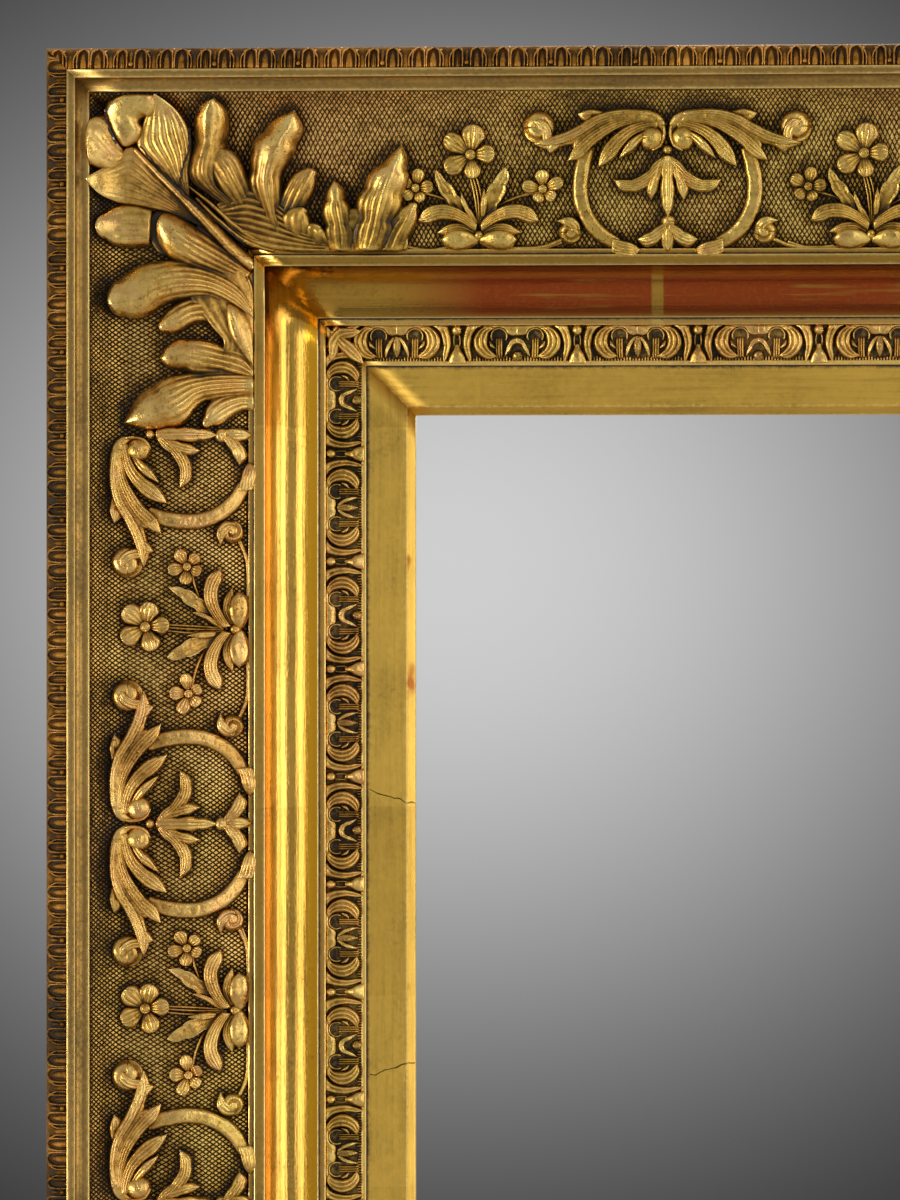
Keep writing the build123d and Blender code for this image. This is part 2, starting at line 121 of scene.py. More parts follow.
def curve(points, count):
    """Points evenly spaced along a smooth curve through the given ones."""
    p = np.array(points, float)
    seg = np.maximum(np.hypot(*np.diff(p[:, :2], axis=0).T), 1e-6)
    d = np.diff(p, axis=0) / seg[:, None]
    slope = np.concatenate([d[:1], np.zeros_like(p[2:]), d[-1:]])
    if len(p) > 2:
        near, far = seg[:-1, None], seg[1:, None]
        slope[1:-1] = (d[:-1] * far + d[1:] * near) / (near + far)
        slope[0] = 1.5 * d[0] - 0.5 * slope[1]
        slope[-1] = 1.5 * d[-1] - 0.5 * slope[-2]
    knot = np.concatenate([[0], np.cumsum(seg)])
    at = np.linspace(0, knot[-1], 24 * len(p))
    i = np.clip(np.searchsorted(knot, at, side="right") - 1, 0, len(seg) - 1)
    f, w = ((at - knot[i]) / seg[i])[:, None], seg[i][:, None]
    q = (1 + 2 * f) * (1 - f) ** 2 * p[i] + f * (1 - f) ** 2 * w * slope[i]
    q += f * f * (3 - 2 * f) * p[i + 1] + f * f * (f - 1) * w * slope[i + 1]
    run = np.concatenate([[0], np.cumsum(np.hypot(*np.diff(q[:, :2], axis=0).T))])
    want = np.linspace(0, run[-1], count)
    return np.stack([np.interp(want, run, c) for c in q.T], axis=1)


def ease(low, high, value):
    t = np.clip((value - low) / (high - low), 0, 1)
    return t * t * (3 - 2 * t)


def blurred(grid, cells):
    """Two passes of a box mean, with the border repeated."""
    for axis in (0, 1, 0, 1):
        pad = [(0, 0), (0, 0)]
        pad[axis] = (cells + 1, cells)
        total = np.cumsum(np.pad(grid, pad, mode="edge"), axis=axis)
        high = np.take(total, range(2 * cells + 1, total.shape[axis]), axis=axis)
        low = np.take(total, range(0, total.shape[axis] - 2 * cells - 1), axis=axis)
        grid = (high - low) / (2 * cells + 1)
    return grid


def hollows(top):
    """Means of a height map near a place and around it, which tell what lies in a hollow."""
    return 0.55 * blurred(top, 2) + 0.22 * blurred(top, 6)


class Relief:
    """Ornament as a set of patches, in plan millimetres and height above the ground."""

    SINK = -1.5
    CELL = 0.5

    def __init__(self, mirrored=False):
        self.mirrored = mirrored
        self.patches = []

    def patch(self, x, y, z, tone_and_painted_shade=0.0):
        """Places and heights, and how much darker or lighter than the rest the gilding is made: partly dirt and
        age, partly painted shade.
        """
        x, y, tone_and_painted_shade = (np.pad(a, 1, mode="edge") for a in (x, y, tone_and_painted_shade + 0 * z))
        z = np.pad(z, 1, constant_values=self.SINK)
        self.patches.append(np.stack([x, y, z, tone_and_painted_shade]))
        if self.mirrored:
            self.patches.append(np.stack([-x, y, z, tone_and_painted_shade]))

    def leaf(self, left, right=None, lift=(1.0, 1.5, 2.0), dome=2.0, edge=0.7, veins=4, depth=0.3,
             fade=(0.45, 0.9), keel=(0.0, 0.0), lobes=0, bite=0.22, blunt=0.0, tone_and_painted_shade=(0.0, 0.0), stations=30):
        """A leaf between two edges that run from its base to its tip, with lobes if they are asked for.
        Both edges can come as one text, with a slash between them and another before a tip they share."""
        if right is None:
            left, right, *tip = (places(part) for part in left.split("/"))
            left, right = left + sum(tip, []), right + sum(tip, [])
        a, b = curve(left, stations), curve(right, stations)
        t = np.linspace(0, 1, stations)[:, None]
        if blunt:
            k = int((1 - blunt) * stations)
            turn = np.linspace(0, np.pi / 2, stations - k)[:, None]
            middle, half = (a[k] + b[k]) / 2, (a[k] - b[k]) / 2
            spine = middle + (a[-1] - middle) * np.sin(turn)
            a[k:], b[k:] = spine + half * np.cos(turn), spine - half * np.cos(turn)
        w = np.linspace(-1, 1, 6 * max(veins, 2) + 1)[None, :]
        notch = 1 - np.sin(np.pi * (t * lobes % 1) ** 1.6) ** 0.6 if lobes else 0 * t
        across = w * (1 - bite * notch)
        x = a[:, :1] * (1 - across) / 2 + b[:, :1] * (1 + across) / 2
        y = a[:, 1:] * (1 - across) / 2 + b[:, 1:] * (1 + across) / 2
        width = np.hypot(*(a - b).T)[:, None]
        full = np.sqrt(np.clip(width / width.max(), 0, 1))
        rise = np.interp(t, (0, 0.5, 1), lift)
        z = edge * (0.3 + 0.7 * ease(0.05, 0.45, t)) + rise + 0 * w
        z += dome * full * (1 - np.abs(w) ** 2.2) ** 0.62 * (1 - 0.5 * notch * w**2)
        z += keel[0] * full * np.clip(1 - np.abs(w - keel[1]), 0, 1)
        if veins:
            k = (w + 1) / 2 * veins
            groove = (1 - np.abs(np.sin(np.pi * k))) ** 1.2 - 0.3
            z -= 1.5 * depth * groove * full * ease(0.0, 0.12, t) * (1 - ease(*fade, t))
        # the tone offset along the leaf, darker at its foot: partly dirt and age, partly painted shade
        self.patch(x, y, z, tone_and_painted_shade[0] + (tone_and_painted_shade[1] - tone_and_painted_shade[0]) * ease(0.1, 0.75, t))

    def strand(self, path, flat=False, base=0.0):
        """A round or flat band along a path of x, y, width and height, as text or as numbers."""
        path = places(path) if isinstance(path, str) else path
        reach = sum(math.dist(p[:2], q[:2]) for p, q in zip(path, path[1:]))
        p = curve(path, max(6, int(reach / 0.9)))
        run = np.gradient(p[:, :2], axis=0)
        run /= np.hypot(*run.T)[:, None] + 1e-9
        w = np.linspace(-1, 1, 9)[None, :]
        shape = np.clip(3.2 * (1 - np.abs(w)), 0, 1) ** 0.5 if flat else (1 - np.abs(w) ** 2.4) ** 0.48
        half = np.maximum(p[:, 2:3], 0.2) / 2
        self.patch(p[:, :1] - run[:, 1:] * w * half, p[:, 1:2] + run[:, :1] * w * half,
                   base + p[:, 3:4] * shape)

    def ball(self, x, y, radius, height, base=0.0, rings=6, around=18):
        turn = np.linspace(0, 2 * np.pi, around + 1)[:, None]
        out = np.sin(np.linspace(0.02, 1, rings) * np.pi / 2)[None, :]
        self.patch(x + radius * out * np.cos(turn), y + radius * out * np.sin(turn),
                   base + height * np.sqrt(np.maximum(1 - out**2, 0)) + 0 * turn)

    def coil(self, x, y, radius, height, start, hand=1, turns=1.5, base=0.8):
        """A domed curl with a spiral groove that winds in to its eye."""
        turn = np.linspace(0, 2 * np.pi, 37)[:, None]
        out = np.linspace(0.02, 1, 16)[None, :]
        wind = out * turns - hand * (turn - math.radians(start)) / (2 * np.pi)
        groove = np.exp(-(((wind - np.round(wind)) / 0.15) ** 2))
        groove = groove * ease(0.1, 0.3, out) * (1 - ease(0.9, 1.0, out))
        z = base + height * (1 - out**2.6) ** 0.6 - 0.36 * height * groove
        self.patch(x + radius * out * np.cos(turn), y + radius * out * np.sin(turn), z)

    def petal(self, x, y, angle, inner, outer, width, lift=1.2, dome=1.1):
        """A blunt petal with a cleft, pointing away from a heart."""
        c, s = math.cos(math.radians(angle)), math.sin(math.radians(angle))
        span = outer - inner
        edges = []
        for sign in (1, -1):
            edge = []
            for far, aside in ((0, 0.16), (0.3, 0.42), (0.62, 0.6), (0.88, 0.44), (1, 0)):
                r, side = inner + far * span, aside * width * sign
                edge.append((x + r * c - side * s, y + r * s + side * c))
            edges.append(edge)
        self.leaf(*edges, lift=(0.3, lift, lift + 0.3), dome=dome, edge=0.6, veins=4, depth=0.35,
                  fade=(0.7, 1.0), stations=18)

    def flower(self, x, y, petals, heart):
        """Petals of (angle, reach, width) about a heart with a rim."""
        for angle, reach, width in petals:
            self.petal(x, y, angle, 0.5 * heart, reach, width, lift=0.55 * heart, dome=0.7 * heart)
        self.ball(x, y, heart, 0.85 * heart, base=1.4, around=16)
        turn = np.linspace(0, 2 * np.pi, 13)
        self.strand([(x + 0.72 * heart * math.cos(a), y + 0.72 * heart * math.sin(a), 0.8, 0.7) for a in turn],
                    base=1.4 + 0.5 * heart)

    def crack(self, path, width):
        """A dark hair line laid on the gathered ornament."""
        path = places(path)
        p = curve(path, max(4, int(2 * sum(math.dist(a, b) for a, b in zip(path, path[1:])))))
        p += np.stack([np.sin(p[:, 1] * 1.9), np.sin(p[:, 0] * 2.3)], axis=1) * 0.16
        run = np.gradient(p, axis=0)
        run /= np.hypot(*run.T)[:, None] + 1e-9
        aside = np.stack([-run[:, 1], run[:, 0]], axis=1) * width / 2
        aside *= np.interp(np.arange(len(p)), (0, 3, len(p) - 4, len(p) - 1), (0.3, 1, 1, 0.3))[:, None]
        both = np.concatenate([p - aside, p + aside])
        i, j = np.round((both.T - self.low[:, None]) / self.CELL).astype(int)
        k = np.arange(len(p) - 1)
        faces = np.stack([k, k + 1, k + 1 + len(p), k + len(p)], axis=1)[:, ::-1]
        height = np.max([self.top[i + a, j + b] for a in (-1, 0, 1) for b in (-1, 0, 1)], axis=0)
        return np.column_stack([both, height + 0.1]), faces, np.full(len(both), -1.5)

    def gathered(self, broad=0.0):
        """Vertices, faces and a cavity value for each vertex, negative in hollows; broad adds a painted light
        and shade at the scale of a leaf.
        """
        both = np.concatenate([p.reshape(4, -1) for p in self.patches], axis=1)
        low = both[:2].min(axis=1) - 6
        size = np.ceil((both[:2].max(axis=1) + 6 - low) / self.CELL).astype(int) + 1
        top = np.zeros(size)
        steps = np.linspace(0, 1, 4)
        for p in self.patches:
            for a in steps:
                for b in steps:
                    q = (p[:, :-1, :-1] * (1 - a) * (1 - b) + p[:, 1:, :-1] * a * (1 - b)
                         + p[:, :-1, 1:] * (1 - a) * b + p[:, 1:, 1:] * a * b).reshape(4, -1)
                    i, j = np.round((q[:2] - low[:, None]) / self.CELL).astype(int)
                    np.maximum.at(top, (i, j), q[2])
        self.top, self.low = top, low
        i, j = np.round((both[:2] - low[:, None]) / self.CELL).astype(int)
        cavity = 0.77 * both[2] - hollows(top)[i, j]
        # broad paints light and shade at the scale of a leaf: ridges are damped, and each mound is made lighter
        # at its middle and darker at its edges, a painted highlight and shade.
        if broad:
            cavity = np.where(cavity > 0, 0.4 * cavity, cavity) + broad * (both[2] - blurred(top, 14)[i, j])
        faces, at = [], 0
        for p in self.patches:
            n, m = p.shape[1:]
            k = at + np.arange(n * m).reshape(n, m)
            quads = np.stack([k[:-1, :-1], k[1:, :-1], k[1:, 1:], k[:-1, 1:]], -1).reshape(-1, 4)
            x, y = p[0], p[1]
            turn = (x[1:, :-1] - x[:-1, :-1]) * (y[:-1, 1:] - y[:-1, :-1])
            turn -= (y[1:, :-1] - y[:-1, :-1]) * (x[:-1, 1:] - x[:-1, :-1])
            faces.append(quads if turn.sum() > 0 else quads[:, ::-1])
            at += n * m
        return both[:3].T, np.concatenate(faces), np.clip(cavity + both[3], -1.5, 1.5)


def merged(copies):
    """One mesh from several of (verts, faces, cavity)."""
    start = np.cumsum([0] + [len(v) for v, _, _ in copies])
    faces = np.concatenate([f + n for (_, f, _), n in zip(copies, start)])
    return np.concatenate([c[0] for c in copies]), faces, np.concatenate([c[2] for c in copies])


def piece(name, verts, faces, cavity, look, slot, node, flip=False, closed=False):
    """A piece on the frame that stands for a node."""
    mesh = bpy.data.meshes.new(name)
    if isinstance(faces, np.ndarray):
        used, index = np.unique(faces, return_inverse=True)
        verts, faces, cavity = verts[used], index.reshape(faces.shape), cavity[used]
    faces = [f[::-1] for f in faces] if flip else list(faces)
    mesh.from_pydata(verts.tolist(), [], [list(f) for f in faces])
    if closed:
        work = bmesh.new()
        work.from_mesh(mesh)
        bmesh.ops.recalc_face_normals(work, faces=work.faces)
        work.to_mesh(mesh)
        work.free()
    mesh.attributes.new("cavity", "FLOAT", "POINT").data.foreach_set("value", cavity.astype(np.float32))
    mesh.shade_smooth()
    mesh.materials.append(look)
    made = bpy.data.objects.new(name, mesh)
    bpy.context.scene.collection.objects.link(made)
    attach(made, "frame")
    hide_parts(node)


def ornament_piece(node, mesh, look, flip=False):
    """A piece of ornament, from its vertices, faces and cavity."""
    piece(f"{node}_relief", *mesh, look, "gilded_composition", node, flip)


# Materials

class Nodes:
    """Short ways to add the nodes of a tree and to link them."""

    def __init__(self, tree, coordinates):
        self.tree = tree
        self.where = tree.nodes.new("ShaderNodeTexCoord").outputs[coordinates]

    def link(self, value, socket):
        if isinstance(value, bpy.types.NodeSocket):
            self.tree.links.new(value, socket)
        else:
            socket.default_value = value

    def node(self, kind, inputs=None, **settings):
        made = self.tree.nodes.new("ShaderNode" + kind)
        for key, value in settings.items():
            setattr(made, key, value)
        for key, value in (inputs or {}).items():
            self.link(value, made.inputs[key])
        return made

    def math(self, operation, *values):
        return self.node("Math", dict(enumerate(values)), operation=operation).outputs[0]

    def times(self, *values):
        return self.math("MULTIPLY", *values)

    def total(self, *parts):
        """The sum of values, each with its weight."""
        result = None
        for value, weight in parts:
            value = value if weight == 1 else self.times(value, weight)
            result = value if result is None else self.math("ADD", result, value)
        return result

    def span(self, value, low, high, to_low=0.0, to_high=1.0):
        inputs = {"Value": value, "From Min": low, "From Max": high, "To Min": to_low, "To Max": to_high}
        return self.node("MapRange", inputs, clamp=True).outputs[0]


class Shader(Nodes):
    """A node material, built on the principled shader."""

    def __init__(self, name):
        self.material = bpy.data.materials.new(name)
        self.material.use_nodes = True
        super().__init__(self.material.node_tree, "Object")
        self.shader = self.tree.nodes["Principled BSDF"]

    def noise(self, scale, detail=4.0, rough=0.55, vector=None, stretch=None):
        vector = vector or self.where
        if stretch:
            vector = self.node("Mapping", {"Vector": vector, "Scale": stretch}).outputs[0]
        inputs = {"Vector": vector, "Scale": scale, "Detail": detail, "Roughness": rough}
        return self.node("TexNoise", inputs).outputs["Fac"]

    def ramp(self, value, *stops):
        made = self.node("ValToRGB", {"Fac": value})
        elements = made.color_ramp.elements
        while len(elements) < len(stops):
            elements.new(0.5)
        for element, (at, colour) in zip(elements, stops):
            element.position = at
            element.color = (*colour, 1)
        return made.outputs["Color"]

    def mix(self, amount, a, b, blend="MIX"):
        made = self.node("Mix", {0: amount}, data_type="RGBA", blend_type=blend)
        for value, key in ((a, 6), (b, 7)):
            self.link(value if isinstance(value, bpy.types.NodeSocket) else (*value, 1), made.inputs[key])
        return made.outputs[2]

    def leafed(self, colour, s):
        """Each leaf of gold along a run a little lighter or darker than the next."""
        one = self.math("FLOOR", self.total((s, 1 / 79), (self.noise(60, 2), 0.03)))
        shade = self.node("TexWhiteNoise", {"W": one}, noise_dimensions="1D").outputs["Value"]
        return self.mix(1.0, colour, self.ramp(shade, (0.0, (0.84, 0.82, 0.78)), (1.0, (1.0, 1.0, 1.0))),
                        "MULTIPLY")

    def bump(self, height, distance, strength=1.0, normal=None):
        inputs = {"Height": height, "Distance": distance, "Strength": strength}
        if normal:
            inputs["Normal"] = normal
        return self.node("Bump", inputs).outputs[0]

    def cavity(self):
        return self.node("Attribute", attribute_name="cavity").outputs["Fac"]

    def plan(self):
        """u and s in millimetres from the place on the frame, and whether it is on an upright side."""
        xyz = self.node("SeparateXYZ", {0: self.where})
        x = xyz.outputs["X"]
        z = self.math("ADD", xyz.outputs["Z"], -MID_Z / 1000)
        ux = self.math("SUBTRACT", HALF_X / 1000, self.math("ABSOLUTE", x))
        uz = self.math("SUBTRACT", HALF_Z / 1000, self.math("ABSOLUTE", z))
        upright = self.math("LESS_THAN", ux, uz)
        u = self.times(self.math("MINIMUM", ux, uz), 1000.0)
        along = self.node("Mix", {0: upright, 2: x, 3: z}).outputs[0]
        return u, self.times(along, 1000.0), upright

    def done(self, **sockets):
        for key, value in sockets.items():
            self.link(value, self.shader.inputs[key.replace("_", " ")])
        return self.material


# Dirt and painted shade, dull gold, bright gold and painted highlight, the red clay under it, and tones of old
# gilding.
DEEP = (0.026, 0.015, 0.005)
BRONZE = (0.18, 0.102, 0.025)
GOLD = (0.62, 0.365, 0.085)
BRIGHT = (1.0, 0.73, 0.26)
BOLE = (0.36, 0.07, 0.017)
WORN = (0.56, 0.23, 0.095)
OLIVE = (0.95, 0.97, 0.8)
WARM = (1.0, 0.9, 0.9)
# Chips in the top left corner, as place and size.
CHIPS = ((25.6, 26.2, 1.0), (28.6, 38.0, 0.6), (30.2, 40.4, 0.5))


def ornament_gilding(name, dark=0.0, warm=0.0, tint=(1.0, 1.0, 1.0), rough=0.24, upright_painted_warmth=0.0, uneven=0.6):
    """Gilding on composition: dirt in the hollows, bright gold on the heights, some of it rubbed to red. The
    cavity also carries painted light and shade, and the upright sides are painted warmer than the level ones.
    """
    m = Shader(name)
    broad, fine, grain = m.noise(30, 5), m.noise(260, 5, 0.6), m.noise(1500, 3)
    cavity = m.total((m.cavity(), 0.85), (m.span(fine, 0.25, 0.75, -0.3, 0.3), 1),
                     (m.span(broad, 0.3, 0.7, -0.4, 0.26), 1))
    level = m.span(cavity, -1.2 + dark, 0.75 + dark)
    colour = m.ramp(level, (0.06, DEEP), (0.3, BRONZE), (0.57, GOLD), (0.95, BRIGHT))
    # painted light: the upright sides are made warmer and the level ones more olive
    warmth = m.total((m.noise(7, 3), 1), (m.plan()[2], upright_painted_warmth), (warm, 1))
    colour = m.mix(1.0, colour, m.ramp(warmth, (0.38, OLIVE), (0.62, WARM)), "MULTIPLY")
    colour = m.mix(1.0, colour, tint, "MULTIPLY")
    worn = m.times(m.span(level, 0.55, 0.9), m.span(m.noise(60, 4), 0.53, 0.64, 0.0, 0.5))
    colour = m.mix(worn, colour, tuple(a * b for a, b in zip(WORN, tint)))
    speck = m.times(m.span(m.noise(850, 2), 0.585, 0.66), m.span(broad, 0.35, 0.6, 0.75, 0.1))
    colour = m.mix(speck, colour, DEEP)
    for x, y, size in CHIPS:
        at = ((x - HALF_X) / 1000, 0, (TOP_Z - y) / 1000)
        flat = m.node("VectorMath", {0: m.where, 1: (1, 0, 1)}, operation="MULTIPLY").outputs[0]
        off = m.node("VectorMath", {0: flat, 1: at}, operation="DISTANCE").outputs["Value"]
        chip = m.span(m.total((off, 1000 / size), (m.span(fine, 0.3, 0.7, -0.5, 0.5), 1)), 1.1, 0.8)
        colour = m.mix(chip, colour, (0.62, 0.58, 0.5))
    rough = m.span(m.total((fine, 1), (level, -0.4)), 0.05, 0.5, rough, rough + 0.26)
    normal = m.bump(grain, 0.00012, 0.5, m.bump(fine, 0.0006, 0.5, m.bump(m.noise(110, 3), 0.002, uneven)))
    return m.done(Base_Color=colour, Metallic=m.span(level, 0.08, 0.3, 0.1, 1.0), Roughness=rough,
                  Normal=normal)


def net_gilding():
    """The frieze ground: a raised net of small diamonds, darker towards its edges with dirt and painted shade,
    and darker next to the ornament with dirt and a painted shadow.
    """
    m = Shader("gilded_net_ground_look")
    u, s, upright = m.plan()
    drift = m.span(m.noise(14, 2), 0.3, 0.7, -1.0, 1.0)
    down = m.total((u, 1), (m.node("SeparateXYZ", {0: m.where}).outputs["Y"], 900.0))
    across = m.total((m.times(down, m.span(upright, 0.0, 1.0, 0.74, 0.9)), 1), (drift, 0.5),
                     (m.span(m.noise(160, 2), 0.3, 0.7, -0.35, 0.35), 1))
    along = m.total((s, 1.62), (drift, 0.8))
    a = m.math("ABSOLUTE", m.math("SINE", m.math("ADD", along, across)))
    b = m.math("ABSOLUTE", m.math("SINE", m.math("SUBTRACT", along, across)))
    net = m.span(m.math("MINIMUM", a, b), 0.05, 0.62)
    broad, fine = m.noise(36, 5), m.noise(520, 4, 0.6)
    # dirt and painted shade where the ground meets the fillets, half as dark on the level sides as a painted
    # light from above
    outer = m.times(m.span(u, 36.0, 19.0, 0.0, 0.4), m.span(upright, 0.0, 1.0, 0.5, 1.0))
    edge = m.math("MAXIMUM", outer, m.span(u, 79.0, 83.0, 0.0, 0.2))
    # the cavity carries the dirt and the painted shadow next to the ornament
    level = m.total((net, 0.86), (m.span(fine, 0.25, 0.75, -0.3, 0.34), 1),
                    (m.span(broad, 0.3, 0.7, -0.2, 0.16), 1), (edge, -1), (m.cavity(), 0.42))
    colour = m.ramp(level, (0.0, DEEP), (0.24, BRONZE), (0.6, GOLD), (1.0, BRIGHT))
    colour = m.mix(1.0, colour, m.ramp(m.noise(7, 3), (0.38, OLIVE), (0.62, WARM)), "MULTIPLY")
    rough = m.span(fine, 0.3, 0.7, 0.3, 0.52)
    normal = m.bump(net, 0.0012, 1.0, m.bump(fine, 0.0003, 0.4))
    return m.done(Base_Color=colour, Metallic=m.span(level, 0.0, 0.3, 0.15, 1.0), Roughness=rough,
                  Normal=normal)


def moulding_gilding(name, tone, rough, streaks=0.5, wear_and_painted_light=None):
    """Gilding on a plain run: dirt and painted shade in its quirks, rubbed arrises with a painted highlight,
    and brush marks along it.
    """
    m = Shader(name)
    u, s, upright = m.plan()
    broad, fine = m.noise(30, 5), m.noise(600, 4, 0.6)
    lines = m.node("CombineXYZ", {0: m.times(s, 0.0035), 1: m.times(u, 0.11)}).outputs[0]
    streak = m.noise(5, 5, 0.6, vector=lines)
    cavity = m.total((m.cavity(), 1), (m.span(fine, 0.3, 0.7, -0.1, 0.1), 1))
    shade = m.total((streak, streaks), (broad, 0.4), (fine, 0.12))
    middle = 0.5 * (streaks + 0.52)
    colour = m.ramp(m.span(shade, middle - 0.25, middle + 0.25), (0.0, tuple(0.45 * c for c in tone)),
                    (0.5, tone), (1.0, tuple(min(1.0, 1.25 * c) for c in tone)))
    colour = m.leafed(colour, s)
    if wear_and_painted_light:
        colour = wear_and_painted_light(m, colour, u, s, upright, streak, broad, fine)
    # a painted highlight on the rubbed arrises
    colour = m.mix(m.span(cavity, 0.16, 0.5, 0.0, 0.7), colour, BRIGHT)
    # dirt and painted shade in the quirks
    dirt_and_shade = m.span(m.total((cavity, 1), (m.span(broad, 0.3, 0.7, -0.1, 0.1), 1)), -0.1, -0.45)
    colour = m.mix(dirt_and_shade, colour, DEEP)
    rough = m.total((m.span(fine, 0.3, 0.7, rough - 0.04, rough + 0.07), 1), (dirt_and_shade, 0.3))
    normal = m.bump(fine, 0.00016, 0.35, m.bump(streak, 0.0005, 0.25))
    return m.done(Base_Color=colour, Metallic=m.span(dirt_and_shade, 0.2, 0.9, 1.0, 0.1), Roughness=rough, Normal=normal)


def cove_rubbing_and_painted_light(m, colour, u, s, upright, streak, broad, fine):
    """Painted light and shade on the cove: darker on the level sides, and bands of painted shade and reflection
    on the uprights. Then red bole where the burnished gold has been rubbed through, most of it on the level
    sides.
    """
    # painted shade: the cove on the level sides made darker
    level = m.math("SUBTRACT", 1.0, upright)
    colour = m.mix(m.times(level, 0.55), colour, (0.36, 0.19, 0.025))
    # painted shade on the uprights' outer fillet, and a painted reflection, a saturated orange, low in their
    # cove
    colour = m.mix(m.times(upright, m.span(u, 85.5, 85.1, 0.0, 0.75)), colour, (0.5, 0.27, 0.05))
    colour = m.mix(m.times(upright, m.span(u, 103.5, 106.5, 0.0, 0.9)), colour, (1.0, 0.5, 0.025))
    # the inner fillet made lighter, less so on the uprights: painted light by side
    colour = m.mix(m.span(u, 109.6, 110.2, 0.0, 0.85), colour, (1.0, 0.64, 0.17))
    colour = m.mix(m.times(upright, m.span(u, 109.6, 110.2, 0.0, 0.75)), colour, (0.72, 0.38, 0.07))
    reach = m.times(m.span(s, -276.0, -236.0), m.span(s, 276.0, 236.0))
    patch = m.span(m.total((streak, 0.8), (broad, 0.5)), 0.45, 0.72)
    lower = m.times(m.span(u, 90.0, 94.0), m.span(u, 109.8, 107.5, 0.3, 1.0))
    unworn = m.span(m.math("ABSOLUTE", m.math("ADD", s, 164.0)), 2.0, 2.8)
    rub = m.times(m.times(level, reach), m.times(lower, unworn))
    rub = m.times(rub, m.span(patch, 0.05, 0.5, 0.2, 1.0))
    some = m.times(m.span(m.noise(9, 3), 0.6, 0.7, 0.0, 0.8), m.span(u, 104.0, 108.0))
    rub = m.math("MAXIMUM", rub, m.times(some, patch))
    return m.mix(m.times(rub, m.span(fine, 0.2, 0.5, 0.75, 1.0)), colour, BOLE)


def worn_slip(m, colour, u, *_):
    """Bole on the sight edge, and two hair cracks across the left slip."""
    rub = m.times(m.span(u, 145.5, 147.0), m.span(m.noise(26, 3), 0.63, 0.67, 0.0, 0.8))
    colour = m.mix(rub, colour, BOLE)
    xyz = m.node("SeparateXYZ", {0: m.where})
    left = m.math("LESS_THAN", xyz.outputs["X"], 0.0)
    wiggle = m.span(m.noise(150, 2), 0.3, 0.7, -0.8, 0.8)
    across = m.times(m.math("GREATER_THAN", u, 131.0), m.math("LESS_THAN", u, 150.0))
    for z, slope in ((-231.5, -0.3), (-344.0, 0.3)):
        off = m.total((xyz.outputs["Z"], 1000), (m.math("SUBTRACT", u, 142.0), -slope), (wiggle, 1), (-z, 1))
        crack = m.times(m.span(m.math("ABSOLUTE", off), 0.3, 0.1), left)
        colour = m.mix(m.times(crack, across), colour, DEEP)
    return colour


def bare_wood(name, pale, deep, upright):
    m = Shader(name)
    grain = m.noise(14, 6, 0.6, stretch=(40, 40, 3) if upright else (3, 40, 40))
    fibre = m.noise(160, 3, stretch=(8, 8, 0.5) if upright else (0.5, 8, 8))
    colour = m.ramp(grain, (0.3, deep), (0.5, pale), (0.72, tuple(0.8 * c for c in pale)))
    colour = m.mix(m.span(m.noise(9, 4), 0.4, 0.75, 0.0, 0.6), colour, tuple(0.35 * c for c in deep))
    colour = m.mix(m.span(fibre, 0.45, 0.75, 0.0, 0.35), colour, deep)
    away = m.math("ABSOLUTE", m.math("ADD", m.node("SeparateXYZ", {0: m.where}).outputs["Z"], -MID_Z / 1000))
    seam = m.math("ABSOLUTE", m.total((away, 1000), (142 - HALF_Z, 1), (m.span(grain, 0.3, 0.7, -0.3, 0.3), 1)))
    colour = m.mix(m.span(seam, 1.1, 0.4, 0.0, 0.85), colour, (0.035, 0.022, 0.012))
    return m.done(Base_Color=colour, Roughness=m.span(grain, 0.3, 0.7, 0.62, 0.85),
                  Normal=m.bump(fibre, 0.0006, 0.4, m.bump(grain, 0.001, 0.3)))


def old_metal(name, bright, dull, rough):
    m = Shader(name)
    patch, fine = m.noise(120, 6), m.noise(1400, 3)
    colour = m.ramp(patch, (0.35, dull), (0.6, bright))
    return m.done(Base_Color=colour, Metallic=m.span(patch, 0.3, 0.5, 0.7, 1.0),
                  Roughness=m.span(patch, 0.3, 0.7, rough + 0.25, rough), Normal=m.bump(fine, 0.0001, 0.4))


ornament = ornament_gilding("gilded_composition_look", dark=-0.04, warm=-0.12, upright_painted_warmth=0.16)
corner_ornament = ornament_gilding("gilded_corner_look", dark=-0.06, warm=-0.12, upright_painted_warmth=0.12,
                                   rough=0.22, uneven=0.2)
# The outer run's gilding as lit and shaded copies: the upright one darker and rougher, a painted shade over the
# run's own dark grime.
run_ornament = {
    "top": ornament_gilding("gilded_level_run_lit_look", dark=0.28, warm=0.15, tint=(0.98, 0.85, 0.62), rough=0.34),
    "left": ornament_gilding("gilded_upright_run_shaded_look", dark=0.36, warm=0.15, tint=(0.68, 0.6, 0.45),
                             rough=0.48)}
sight_ornament = ornament_gilding("gilded_sight_look", dark=0.05)
net_ground = net_gilding()
edge_gilding = moulding_gilding("gilded_edge_look", (0.47, 0.285, 0.08), 0.36)
cove_gilding = moulding_gilding("burnished_cove_look", (0.78, 0.46, 0.09), 0.13, streaks=0.4, wear_and_painted_light=cove_rubbing_and_painted_light)
slip_gilding = moulding_gilding("matt_slip_look", (0.80, 0.51, 0.095), 0.42, streaks=0.35, wear_and_painted_light=worn_slip)
pine = {upright: bare_wood(f"back_wood_{way}", (0.36, 0.225, 0.115), (0.15, 0.08, 0.036), upright)
        for way, upright in (("level", False), ("upright", True))}
beech = bare_wood("turned_wood", (0.28, 0.15, 0.07), (0.13, 0.065, 0.03), True)
brass = old_metal("old_brass", (0.62, 0.43, 0.17), (0.22, 0.14, 0.06), 0.32)
steel = old_metal("old_steel", (0.40, 0.38, 0.35), (0.13, 0.10, 0.08), 0.38)

